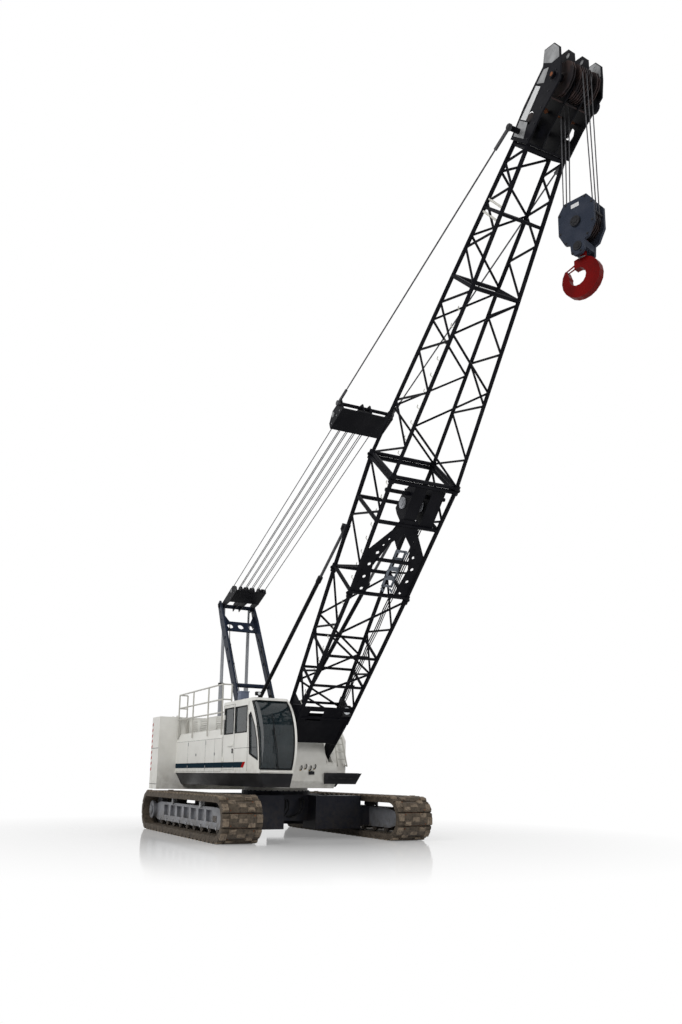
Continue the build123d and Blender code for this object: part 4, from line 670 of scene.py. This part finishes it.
grip = {"rear": -3.62, "step": 0.145, "count": 26, "length": 0.075, "half": 0.012, "low": 2.610,
        "high": 2.6145, "rows": (1.30, 1.36, 1.42, 1.47)}
for side in (-1, 1):
    for k in range(grip["count"]):
        x = grip["rear"] + grip["step"] * k
        for y in grip["rows"]:
            addBlock(bm, (x, side * y - grip["half"], grip["low"]),
                     (x + grip["length"], side * y + grip["half"], grip["high"]))
savePiece("walkway_grip", bm, "rubberBlack", "upper")

hatch = {"places": (-3.35, -1.75, -0.75), "across": 1.03, "length": 0.34, "width": 0.17, "roof": 3.0,
         "lid": 0.028, "handle": 0.022}
lidTop = hatch["roof"] + hatch["lid"]
for x in hatch["places"]:
    for side in (-1, 1):
        y = side * hatch["across"]
        addBlock(bm, (x - hatch["length"], y - hatch["width"], hatch["roof"]),
                 (x + hatch["length"], y + hatch["width"], lidTop), 0.008)
        addBlock(bm, (x - 0.06, y - 0.012, lidTop), (x + 0.06, y + 0.012, lidTop + hatch["handle"]), 0.004)
for x in (-3.60, 0.05):
    addBlock(bm, (x - 0.05, -1.06, hatch["roof"]), (x + 0.05, -1.04, 3.09), 0.006)
savePiece("roof_hatches", bm, "paintCream", "upper")

# grille surrounds on the raised inner boxes
grille = {"places": (-3.2, -2.35, -1.0), "wall": 1.2503, "half": 0.30, "low": 2.64, "high": 2.975,
          "slats": 5, "first": 2.685, "step": 0.06, "slatHalf": 0.28, "slatOut": 0.010}
for side in (-1, 1):
    face = side * grille["wall"]
    inner, outer = face - side * grille["slatOut"], face + side * grille["slatOut"]
    for x in grille["places"]:
        corners = [(x + step, face, z) for step, z in ((-grille["half"], grille["low"]),
                                                       (grille["half"], grille["low"]),
                                                       (grille["half"], grille["high"]),
                                                       (-grille["half"], grille["high"]))]
        addPath(bm, corners, 0.007, 6, True)
        rear, fore = x - grille["slatHalf"], x + grille["slatHalf"]
        for k in range(grille["slats"]):
            z = grille["first"] + grille["step"] * k
            slat = [(rear, inner, z - 0.020), (fore, inner, z - 0.020), (fore, outer, z + 0.006),
                    (rear, outer, z + 0.006)]
            addSlab(bm, slat, (0, 0, 1), 0.004)
savePiece("grille_slats", bm, "paintCream", "upper")

# counterweight: joint lines, lifting lugs, grab handles, red corner marks, rear lamps
weight = {"joints": (1.19, 2.203), "top": 3.107, "lugRows": (-4.42, -3.98),
          "lugPlaces": (-1.55, -0.55, 0.55, 1.55), "grabs": (-1.75, 1.75),
          "corner": ((-3.752, 2.1315), (-4.50, 2.1315), (-4.62, 2.09), (-4.6745, 1.97))}
for z in weight["joints"]:
    edge = [(x, -y, z) for x, y in weight["corner"]] + [(x, y, z) for x, y in reversed(weight["corner"])]
    addPath(bm, edge, 0.006, 6)
savePiece("weight_joints", bm, "rubberBlack", "upper")
for y in weight["lugPlaces"]:
    for x in weight["lugRows"]:
        addAxle(bm, (x, y, weight["top"]), -0.025, 0.025, 0.060, 16)
        addBlock(bm, (x - 0.09, y - 0.05, 3.100), (x + 0.09, y + 0.05, 3.118), 0.005)
for y in weight["grabs"]:
    bow = [(-4.665, y - 0.10, 1.75), (-4.672, y - 0.10, 1.78), (-4.672, y - 0.10, 2.02),
           (-4.665, y - 0.10, 2.05)]
    addPath(bm, bow, 0.0085, 8)
savePiece("weight_lugs", bm, "paintCream", "upper")

markBand = {"width": 0.10, "count": 9, "low": 1.55, "step": 0.080, "lean": 0.04, "rear": -4.515,
            "face": 2.1308}
front = markBand["rear"] + markBand["width"]
for side in (-1, 1):
    for k in range(markBand["count"]):
        z = markBand["low"] + 2 * k * markBand["step"]
        corners = ((markBand["rear"], z), (front, z + markBand["lean"]),
                   (front, z + markBand["lean"] + markBand["step"]), (markBand["rear"], z + markBand["step"]))
        addSlab(bm, [(x, side * markBand["face"], high) for x, high in corners], (0, side, 0), 0.0015)
savePiece("weight_marks", bm, "lampRed", "upper")
for y in (-1.9, 1.9):
    for z in (1.42, 1.30):
        addRod(bm, (-4.660, y, z), (-4.6808, y, z), 0.045, 16)
savePiece("rear_lamps", bm, "lampRed", "upper")
print("houses dressed")

# deck: front hoses, valves and fittings, pins, grip strips of the step box
deck = {"face": 1.9605, "hoses": 4, "hose": 0.012, "first": -0.20, "step": 0.12, "low": 1.60, "stagger": 0.03,
        "bend": ((1.965, 0, 0), (2.005, 0.01, 0.01), (2.010, 0.03, 0.07), (1.962, 0.04, 0.11)),
        "footFace": 0.713, "gantryFace": 0.6103, "stopFace": 0.7053}
for k in range(deck["hoses"]):
    y = deck["first"] + deck["step"] * k
    rise = deck["low"] + deck["stagger"] * (k % 2)
    addPath(bm, [(x, y + across, rise + lift) for x, across, lift in deck["bend"]], deck["hose"], 8)
savePiece("deck_hoses", bm, "hoseBlack", "upper")
addBlock(bm, (deck["face"], 0.02, 1.50), (2.00, 0.16, 1.57), 0.006)
for y in (0.05, 0.09, 0.13):
    addRod(bm, (1.98, y, 1.565), (1.98, y, 1.59), 0.010, 8)
savePiece("deck_valves", bm, "paintDark", "upper")
for k in range(deck["hoses"]):
    rise = deck["low"] + deck["stagger"] * (k % 2)
    spot = Vector((deck["face"], deck["first"] + deck["step"] * k, rise))
    addRod(bm, spot, spot + Vector((0.020, 0, 0)), 0.018, 6)
savePiece("deck_fittings", bm, "brassFitting", "upper")
footX, footZ = boom["foot"].x, boom["foot"].z
for side in (-1, 1):
    out = (0, side, 0)
    addPin(bm, (footX, side * deck["footFace"], footZ), out, 0.048, 0.020)
    for c, s in circle(6):
        addBolt(bm, (footX + 0.085 * c, side * deck["footFace"], footZ + 0.085 * s), out, 0.008, 0.008)
    addPin(bm, (-0.79, side * deck["gantryFace"], 2.01), out, 0.040, 0.020)
    addPin(bm, (-1.5, side * deck["stopFace"], 2.195), out, 0.030, 0.016)
savePiece("deck_pins", bm, "earSilver", "upper")
addBlock(bm, (2.0805, 0.50, 1.40), (2.092, 1.28, 1.44), 0.003)
for k in range(16):
    x = 0.86 + 0.074 * k
    addBlock(bm, (x, 0.83, 1.546), (x + 0.034, 1.36, 1.552))
savePiece("step_grip", bm, "rubberBlack", "upper")

# winches: rope laid on the drums, flange bolts, end covers
covers = bmesh.new()
bolts = bmesh.new()
# x, z, radius and half the width of each drum
drums = ((0.56, 2.06, 0.230, 0.38), (-0.33, 2.06, 0.230, 0.38), (-2.45, 2.00, 0.190, 0.33))
wrap = {"pitch": 0.030, "end": 0.035, "half": 0.0135, "low": 0.012, "high": 0.024}
for x, z, drumRadius, half in drums:
    wraps = int(2 * (half - 0.03) / wrap["pitch"])
    low, high = drumRadius + wrap["low"], drumRadius + wrap["high"]
    for k in range(wraps):
        y = -half + wrap["end"] + k * 2 * (half - wrap["end"]) / (wraps - 1)
        addAxle(bm, (x, y, z), -wrap["half"], 0, low, 28, high)
        addAxle(bm, (x, y, z), 0, wrap["half"], high, 28, low)
    for side in (-1, 1):
        for c, s in circle(12):
            addBolt(bolts, (x + drumRadius * 1.35 * c, side * (half + 0.018), z + drumRadius * 1.35 * s),
                    (0, side, 0), 0.010, 0.008)
    addAxle(covers, (x, half, z), 0.06, 0.075, 0.11, 20)
savePiece("drum_ropes", bm, "ropeSteel", "upper")
savePiece("winch_bolts", bolts, "earSilver", "upper")
savePiece("winch_covers", covers, "paintGrey", "upper")

# gantry: pins, bolts, collars of the struts, lines
gantryFoot = Vector((-0.79, 0, 2.01))
legRun = gantryFoot - gantryTop
legDir = legRun.normalized()
legSide = Vector((-legDir.z, 0, legDir.x))


def onLeg(along, across, beside):
    return gantryTop + legDir * along + legSide * beside + Vector((0, across, 0))


gantryBits = {"face": 0.560, "strutX": -3.53, "strutAcross": 0.395, "strutFoot": 1.83, "line": 0.012,
              "route": ((0.70, 1.0, 0.035), (1.4, 1.38, 0.10), (2.6, 1.41, 0.125), (3.8, 1.41, 0.125),
                        (4.7, 1.38, 0.11)), "clips": (1.6, 2.3, 3.4, 4.4)}
for side in (-1, 1):
    face, out = side * gantryBits["face"], (0, side, 0)
    addPin(bm, onLeg(0, face, 0), out, 0.058, 0.022)
    for along in (2.98, 4.15):
        for c, s in circle(6):
            addBolt(bm, onLeg(along + 0.075 * c, face, 0.075 * s), out, 0.009, 0.009)
    for along in (0.25, 0.55, 0.85):
        addBolt(bm, onLeg(along, face, 0.0), out, 0.012, 0.010)
    for rise, radius in ((0.0, 0.090), (2.3, 0.091)):
        foot = (gantryBits["strutX"], side * gantryBits["strutAcross"], gantryBits["strutFoot"] + rise)
        collar = Vector(foot)
        addRod(bm, collar - Vector((0, 0, 0.02)), collar + Vector((0, 0, 0.03)), radius, 16)
savePiece("gantry_pins", bm, "paintBoom", "upper")
for across in (-0.34, 0.34):
    route = [onLeg(along, across * spread, beside) for along, spread, beside in gantryBits["route"]]
    addPath(bm, route, gantryBits["line"], 8)
    for along in gantryBits["clips"]:
        clip = onLeg(along, across * 1.41, 0.122)
        addRod(bm, clip - legDir * 0.02, clip + legDir * 0.02, 0.020, 8)
savePiece("gantry_lines", bm, "hoseBlack", "upper")

# bail and bridle: shaft nuts, sheave hubs, edge bolts
for name, body, at, half, shaft in (("bail_fittings", "line", 0.85, 0.463, 0.045),
                                    ("bridle_fittings", "bridle_body", 8.50, 0.655, 0.050)):
    for side in (-1, 1):
        addPin(bm, onLine(at, side * half, 0), (0, side, 0), shaft * 0.9, 0.018)
        for step in (-0.14, 0.14, 0.30):
            addBolt(bm, onLine(at + step, side * half, -0.15), (0, side, 0), 0.011, 0.010)
    for across in reeving["places"]:
        for end in (-1, 1):
            addAxle(bm, onLine(at, across, 0), end * 0.022, end * 0.034, 0.075, 16, 0.06)
    savePiece(name, bm, "earSilver", body)
print("gantry dressed")

# boom: section joints, ladder rungs, hoses and their clips, lamp box
stations = {"foot": (1.3, 0.645, 0.280), "frame": (5.0, 0.680, 0.530), "joint": (7.7, 0.745, 0.585),
            "neck": (11.47, 0.515, 0.415), "tip": (13.88, 0.390, 0.2275)}


def halfSizes(along):
    order = list(stations.values())
    for first, second in zip(order, order[1:]):
        if along <= second[0]:
            share = (along - first[0]) / (second[0] - first[0])
            return [first[k] + share * (second[k] - first[k]) for k in (1, 2)]
    return list(order[-1][1:])


joints = (stations["frame"][0], stations["joint"][0])
for along in joints:
    wide, deep = halfSizes(along)
    for side in (-1, 1):
        for face in (-1, 1):
            for step in (-0.055, 0.055):
                center = onBoom(along + step, side * wide, face * deep)
                addRod(bm, center - boomDir * 0.040, center + boomDir * 0.040, 0.066, 12)
            spot = onBoom(along, side * (wide + 0.055), face * deep)
            addPin(bm, spot, (0, side, 0), 0.030, 0.030)
savePiece("boom_joints", bm, "paintBoom", "boom")

rung = {"count": 30, "start": 1.75, "step": 0.32, "clear": 0.15, "inset": 0.02, "radius": 0.009,
        "shape": ((0, 0.04), (0, 0.22), (0.05, 0.22))}
for k in range(rung["count"]):
    along = rung["start"] + rung["step"] * k
    if min(abs(along - joint) for joint in joints) > rung["clear"]:
        wide, deep = halfSizes(along)
        bar = [onBoom(along + run, rung["inset"] - wide, rise - deep) for run, rise in rung["shape"]]
        addPath(bm, bar, rung["radius"], 6)
savePiece("boom_rungs", bm, "railWhite", "boom")

hose = {"start": 1.4, "step": 0.27, "points": 22, "lift": 0.065, "sway": 0.012, "clipLift": 0.045,
        "clips": (1.45, 2.43, 3.30, 5.045, 6.75), "middle": 0.345}
clipHalf = Vector((0.03, 0.09, 0.03))
for across, radius in ((0.30, 0.013), (hose["middle"], 0.013), (0.39, 0.010)):
    points = []
    for k in range(hose["points"]):
        along = hose["start"] + hose["step"] * k
        sway = hose["sway"] * math.sin(1.7 * k + 9 * across)
        points.append(onBoom(along, across + sway, hose["lift"] - halfSizes(along)[1]))
    addPath(bm, points, radius, 6)
for along in hose["clips"]:
    spot = onBoom(along, hose["middle"], hose["clipLift"] - halfSizes(along)[1])
    addBlock(bm, spot - clipHalf, spot + clipHalf, 0.006)
savePiece("boom_hoses", bm, "hoseBlack", "boom")

lampAt = onBoom(1.62, 0.50, 0.10 - halfSizes(1.75)[1])
addBlock(bm, lampAt - Vector((0.12, 0.10, 0.13)), lampAt + Vector((0.12, 0.12, 0.13)), 0.012)
addRod(bm, lampAt, lampAt + Vector((-0.02, 0.14, -0.16)), 0.016, 8)
savePiece("boom_lamp_box", bm, "paintDark", "boom")
addRod(bm, lampAt + Vector((0.118, 0.01, 0)), lampAt + Vector((0.127, 0.01, 0)), 0.085, 20)
savePiece("boom_lamp_lens", bm, "lampClear", "boom")

# pierced arm that lies behind the arch plate, and bolts round the arch and drives
arm = {"near": 0.03, "far": 0.30, "start": 5.20, "cells": 4, "step": 0.23, "cell": 0.20, "bar": 0.05,
       "lift": 0.10, "thick": 0.016}
for k in range(arm["cells"]):
    low = arm["start"] + arm["step"] * k
    high = low + arm["cell"]
    bars = [(low, high, edge, edge + arm["bar"], low) for edge in (arm["near"], arm["far"] - arm["bar"])]
    bars += [(along, along + arm["bar"], arm["near"], arm["far"], along) for along in (low, high - 0.02)]
    for start, end, left, right, at in bars:
        lift = arm["lift"] - halfSizes(at)[1]
        outline = [onBoom(start, left, lift), onBoom(end, left, lift), onBoom(end, right, lift),
                   onBoom(start, right, lift)]
        addSlab(bm, outline, boomUp, arm["thick"])
for along in (5.15, 6.10):
    deep = halfSizes(along)[1]
    for across in (0.06, 0.27):
        addRod(bm, onBoom(along, across, -deep + 0.01), onBoom(along, across, -deep + 0.12), 0.022, 8)
savePiece("boom_pierced_arm", bm, "armBlue", "boom")

stopPin = 5.86
for side in (-1, 1):
    for along, across in ((5.06, 0.58), (5.30, 0.62), (5.60, 0.63), (5.92, 0.60), (6.14, 0.50), (6.36, 0.40),
                          (6.62, 0.24), (6.80, 0.12)):
        spot = onBoom(along, side * across, -halfSizes(along)[1] - 0.0121)
        addBolt(bm, spot, -boomUp, 0.013, 0.010)
    for step in (-0.15, 0.0, 0.15):
        addBolt(bm, onBoom(stopPin + step, side * 0.686, 0.60), (0, side, 0), 0.010, 0.009)
    addPin(bm, onBoom(stopPin, side * 0.6853, 0.811), (0, side, 0), 0.032, 0.014)
for across in (-0.10, 0.08, 0.34, 0.50):
    for along in (6.95, 7.15, 7.35):
        addBolt(bm, onBoom(along, across, -0.09 + (7.2 - along) * 0.12), boomUp, 0.012, 0.012)
savePiece("boom_bolts", bm, "paintBoom", "boom")

for across, width in ((-0.01, 0.28), (0.42, 0.30)):
    for side in (-1, 1):
        center = onBoom(7.12, across + side * width / 2, -0.30)
        addAxle(bm, center, 0, side * 0.020, 0.125, 20)
        addAxle(bm, center, side * 0.020, side * 0.034, 0.055, 14)
savePiece("boom_drive_covers", bm, "paintGrey", "boom")

# butt: edge stiffeners of the cheeks, foot bosses, rim of the plate's window
butt = {"face": 0.655, "edge": ((0.15, 0.115), (0.70, 0.205), (1.25, 0.290)), "stiffener": 0.012,
        "window": ((1.345, -0.443, -0.292), (1.345, -0.073, -0.292), (1.68, -0.073, -0.332),
                   (1.68, -0.443, -0.332))}
for side in (-1, 1):
    for lift in (-1, 1):
        edge = [onBoom(along, side * butt["face"], lift * above) for along, above in butt["edge"]]
        addPath(bm, edge, butt["stiffener"], 6)
    addAxle(bm, onBoom(0, side * butt["face"], 0), 0, side * 0.009, 0.112, 24)
addPath(bm, [onBoom(*corner) for corner in butt["window"]], 0.010, 6, True)
savePiece("butt_stiffeners", bm, "paintBoom", "boom")

# boom head: blank and silver side plates, pale bars, ears, rope guards, brown parts, bolts
head = {"face": 0.4545, "eyeAlong": 15.295, "eyeRadius": 0.036, "ears": ((0.440, 0.0145), (0.147, 0.0055)),
        "blank": ((14.21, 0.200), (14.74, 0.115), (14.74, -0.030), (14.21, 0.020)),
        "silver": (((13.94, 0.232), (14.19, 0.215), (14.19, -0.050), (13.94, -0.120)),
                   ((14.77, 0.118), (14.99, 0.070), (15.03, -0.060), (14.80, -0.090))),
        "earShape": ((15.08, 0.155), (15.26, 0.262), (15.375, 0.06), (15.335, -0.135), (15.20, -0.255),
                     (15.10, -0.10)),
        "guards": ((14.62, -0.40), (15.16, -0.06), (14.93, 0.04), (14.70, 0.0)), "guardHalf": 0.437,
        "sheaves": (-0.258, -0.09, 0.0, 0.09, 0.258), "deflector": (14.1803, 0.2075), "deflectorAcross": 0.25}


def addHeadPlate(outline, across, side, thickness):
    addSlab(bm, [onBoom(along, across, above) for along, above in outline], (0, side, 0), thickness)


for side in (-1, 1):
    addHeadPlate(head["blank"], side * head["face"], side, 0.004)
savePiece("head_blank_plate", bm, "labelGrey", "boom")
for side in (-1, 1):
    for outline in head["silver"]:
        addHeadPlate(outline, side * head["face"], side, 0.003)
savePiece("head_side_plates", bm, "earSilver", "boom")
for along in (12.64, 12.86):
    wide, deep = halfSizes(along)
    addRod(bm, onBoom(along + 0.04, -wide, deep), onBoom(along - 0.02, -wide, -deep), 0.021, 10)
savePiece("boom_pale_bars", bm, "railWhite", "boom")
eyeRing = [(head["eyeAlong"] + head["eyeRadius"] * c, head["eyeRadius"] * s) for c, s in circle(16)]
for across, half in head["ears"]:
    for end in (-1, 1):
        for side in (-1, 1):
            addHeadPlate(head["earShape"], end * across + side * half, side, 0.003)
            face = end * across + side * (half + 0.003)
            addPath(bm, [onBoom(along, face, above) for along, above in eyeRing], 0.005, 6, True)
savePiece("head_ears", bm, "earSilver", "boom")
for along, above in head["guards"]:
    addAxle(bm, onBoom(along, 0, above), -head["guardHalf"], head["guardHalf"], 0.014, 8)
for across in head["sheaves"]:
    for end in (-1, 1):
        addAxle(bm, onShaft(across), end * 0.031, end * 0.036, 0.10, 18, 0.085)
for side in (-1, 1):
    along, above = head["deflector"]
    for end in (-1, 1):
        addAxle(bm, onBoom(along, side * head["deflectorAcross"], above), end * 0.031, end * 0.042,
                0.09, 18, 0.07)
savePiece("head_guards", bm, "sheaveIron", "boom")
clampHalf = Vector((0.03, 0.025, 0.03))
for across in (-0.34, -0.20, 0.20, 0.34):
    spot = onBoom(14.45, across, -0.05)
    addBlock(bm, spot - clampHalf, spot + clampHalf, 0.006)
addAxle(bm, onBoom(14.45, 0, -0.05), -0.42, 0.42, 0.018, 8)
for side in (-1, 1):
    addAxle(bm, onShaft(side * 0.44), side * 0.060, side * 0.068, 0.035, 12)
savePiece("head_rust_parts", bm, "rustBrown", "boom")
for side in (-1, 1):
    out = (0, side, 0)
    for c, s in circle(6):
        addBolt(bm, onShaft(side * head["face"], 0.085 * c, 0.085 * s), out, 0.010, 0.010)
    for along in (13.95, 14.20, 14.45, 14.70):
        spot = onBoom(along, side * head["face"], -0.235 - (along - 13.95) * 0.11)
        addBolt(bm, spot, out, 0.011, 0.010)
    addPin(bm, onBoom(boom["pinAlong"], side * 0.683, boom["pinAbove"]), out, 0.034, 0.012)
savePiece("head_bolts", bm, "paintDark", "boom")

# hoist rope at the head, from the deflectors to the head sheaves
for start, end in ((-0.25, -0.09), (0.25, 0.25)):
    addRod(bm, onBoom(14.18, start, 0.395), onBoom(14.93, end, -0.010), 0.0095, 6)
savePiece("head_ropes", bm, "ropeSteel", "boom")
print("boom dressed")

# hook block: blank plates, hub caps, bolts and spacers, then the hook's latch and collar
blockBits = {"plate": ((-0.075, 0.250), (0.065, 0.250), (0.065, 0.185), (-0.075, 0.185)), "hub": 0.196,
             "trunnion": (0.009, -0.50), "spacers": ((0.29, 0.02), (0.17, 0.31)), "spacerHalf": 0.125,
             "bolts": ((-0.17, 0.295), (0.17, 0.295), (-0.285, 0.15), (0.285, 0.15), (-0.285, -0.17),
                       (0.285, -0.17), (-0.19, -0.37), (0.19, -0.37), (-0.08, -0.60), (0.06, -0.60)),
             "latch": ((-0.120, 0.034, -0.735), (-0.300, 0.026, -0.782), (-0.305, 0.026, -0.762),
                       (-0.128, 0.034, -0.705))}


def addCap(place, out, start, end, radius, sides):
    addRod(bm, place + out * start, place + out * end, radius, sides)


for side in (-1, 1):
    face = side * block["face"]
    plate = [onBlock(fore, face, rise) for fore, rise in blockBits["plate"]]
    addSlab(bm, plate, blockSide * side, 0.003)
savePiece("block_plates", bm, "labelGrey", "block")
for side in (-1, 1):
    out = blockSide * side
    hub = onBlock(0, side * blockBits["hub"], -block["shaftDrop"])
    addCap(hub, out, -0.004, 0.014, 0.085, 20)
    addCap(hub, out, 0.014, 0.022, 0.040, 14)
    fore, rise = blockBits["trunnion"]
    trunnion = onBlock(fore, side * block["face"], rise)
    addCap(trunnion, out, 0.0, 0.012, 0.075, 20)
    addCap(trunnion, out, 0.012, 0.018, 0.040, 14)
savePiece("block_caps", bm, "paintDark", "block")
for side in (-1, 1):
    out = blockSide * side
    for fore, rise in blockBits["bolts"]:
        addBolt(bm, onBlock(fore, side * block["face"], rise), out, 0.014, 0.012)
    for c, s in circle(6):
        addBolt(bm, onBlock(0.062 * c, side * 0.2098, 0.062 * s - block["shaftDrop"]), out, 0.007, 0.007)
    for fore, rise in blockBits["spacers"]:
        addRod(bm, onBlock(side * fore, -blockBits["spacerHalf"], rise),
               onBlock(side * fore, blockBits["spacerHalf"], rise), 0.015, 10)
savePiece("block_bolts", bm, "paintDark", "block")
for side in (-1, 1):
    strip = [onBlock(fore, side * across, rise) for fore, across, rise in blockBits["latch"]]
    addSlab(bm, strip, blockSide * side, 0.006)
addRod(bm, onBlock(-0.124, -0.045, -0.720), onBlock(-0.124, 0.045, -0.720), 0.013, 10)
addRod(bm, onBlock(-0.30, -0.032, -0.772), onBlock(-0.30, 0.032, -0.772), 0.009, 8)
savePiece("hook_latch", bm, "hookRed", "hook_body")
addRod(bm, onBlock(0, 0, -0.655), onBlock(0, 0, -0.640), 0.082, 24)
addRod(bm, onBlock(0, 0, -0.3712), onBlock(0, 0, -0.360), 0.035, 12)
savePiece("hook_collar", bm, "earSilver", "hook_body")
print("block dressed")

# camera, floor and light
view = {"place": (21.334, -8.881, 1.433), "yaw": 26.598, "pitch": 11.648, "roll": 0.853,
        "lens": 30.6236, "shift": 0.08428}
yaw, pitch, roll = (math.radians(view[key]) for key in ("yaw", "pitch", "roll"))
level = Vector((-math.cos(yaw), math.sin(yaw), 0))
up = Vector((0, 0, 1))
right = level.cross(up)
forward = math.cos(pitch) * level + math.sin(pitch) * up
tall = right.cross(forward)
rightRolled = math.cos(roll) * right + math.sin(roll) * tall
tallRolled = -math.sin(roll) * right + math.cos(roll) * tall
cameraData = bpy.data.cameras.new("view")
cameraData.sensor_fit = "VERTICAL"
cameraData.sensor_height = 36.0
cameraData.lens = view["lens"]
cameraData.shift_y = view["shift"]
cameraData.clip_end = 500.0
camera = bpy.data.objects.new("view", cameraData)
bpy.context.scene.collection.objects.link(camera)
camera.matrix_world = Matrix.Translation(view["place"]) @ Matrix(
    (rightRolled, tallRolled, -forward)).transposed().to_4x4()
bpy.context.scene.camera = camera

floorMesh = bmesh.new()
bmesh.ops.create_grid(floorMesh, x_segments=1, y_segments=1, size=300.0)
floorData = bpy.data.meshes.new("floor")
floorMesh.to_mesh(floorData)
floorMesh.free()
floor = bpy.data.objects.new("floor", floorData)
bpy.context.scene.collection.objects.link(floor)
floorMat, floorTree, floorShader = newMaterial("floorPale")
floorLook = {"color": (0.86, 0.86, 0.86, 1), "rough": 0.07, "shine": 0.9, "fade": (3.5, 11.0),
             "glow": (0.20, 1.0)}  # the floor goes over into plain white between the two distances
setInputs(floorShader, {"Base Color": floorLook["color"], "Roughness": floorLook["rough"],
                        "Specular IOR Level": floorLook["shine"]})
paths = addNode(floorTree, "ShaderNodeLightPath").outputs
glow = addNode(floorTree, "ShaderNodeEmission")
setInputs(glow, {"Color": (1, 1, 1, 1), "Strength": 1.0})
blendShade = addNode(floorTree, "ShaderNodeMixShader")
seen = compute(floorTree, paths["Is Camera Ray"], paths["Is Glossy Ray"], "MAXIMUM")
floorCoords = objectCoords(floorTree)[0]
spread = addNode(floorTree, "ShaderNodeVectorMath", operation="LENGTH")
floorTree.links.new(floorCoords, spread.inputs[0])
fade = remap(floorTree, spread.outputs["Value"], *floorLook["fade"], *floorLook["glow"])
floorTree.links.new(compute(floorTree, seen, fade), blendShade.inputs[0])
floorTree.links.new(floorShader.outputs[0], blendShade.inputs[1])
floorTree.links.new(glow.outputs[0], blendShade.inputs[2])
floorTree.links.new(blendShade.outputs[0], floorTree.nodes["Material Output"].inputs["Surface"])
floorData.materials.append(floorMat)

world = bpy.data.worlds.new("studio")
bpy.context.scene.world = world
world.use_nodes = True
worldTree = world.node_tree
backdrop = worldTree.nodes["Background"]
studio = {"ambient": 0.34, "seen": 1.0, "mirrored": 0.85}  # how bright it is to each kind of ray
backdrop.inputs["Color"].default_value = (1, 1, 1, 1)
rays = addNode(worldTree, "ShaderNodeLightPath").outputs
whiteRays = compute(worldTree, rays["Is Camera Ray"], rays["Is Transmission Ray"], "MAXIMUM")
shineRays = remap(worldTree, rays["Is Glossy Ray"], 0.0, 1.0, 0.0, studio["mirrored"])
plainRays = remap(worldTree, whiteRays, 0.0, 1.0, studio["ambient"], studio["seen"])
worldTree.links.new(compute(worldTree, plainRays, shineRays, "MAXIMUM"), backdrop.inputs["Strength"])

# name, place, aimed at, size, power
lamps = (("key", (16, -26, 24), (0, 0, 4), 14.0, 7200.0), ("fill", (28, 16, 14), (2, 0, 4), 16.0, 2600.0),
         ("back", (-24, 6, 22), (0, 0, 4), 14.0, 2200.0))
for name, place, aim, size, power in lamps:
    lampData = bpy.data.lights.new(name, "AREA")
    lampData.shape = "DISK"
    lampData.size = size
    lampData.energy = power
    lamp = bpy.data.objects.new(name, lampData)
    bpy.context.scene.collection.objects.link(lamp)
    lamp.visible_glossy = False
    lamp.matrix_world = Matrix.Translation(place) @ (Vector(aim) - Vector(place)).to_track_quat(
        "-Z", "Y").to_matrix().to_4x4()
bpy.context.scene.view_settings.view_transform = "Standard"

print("scene ready")
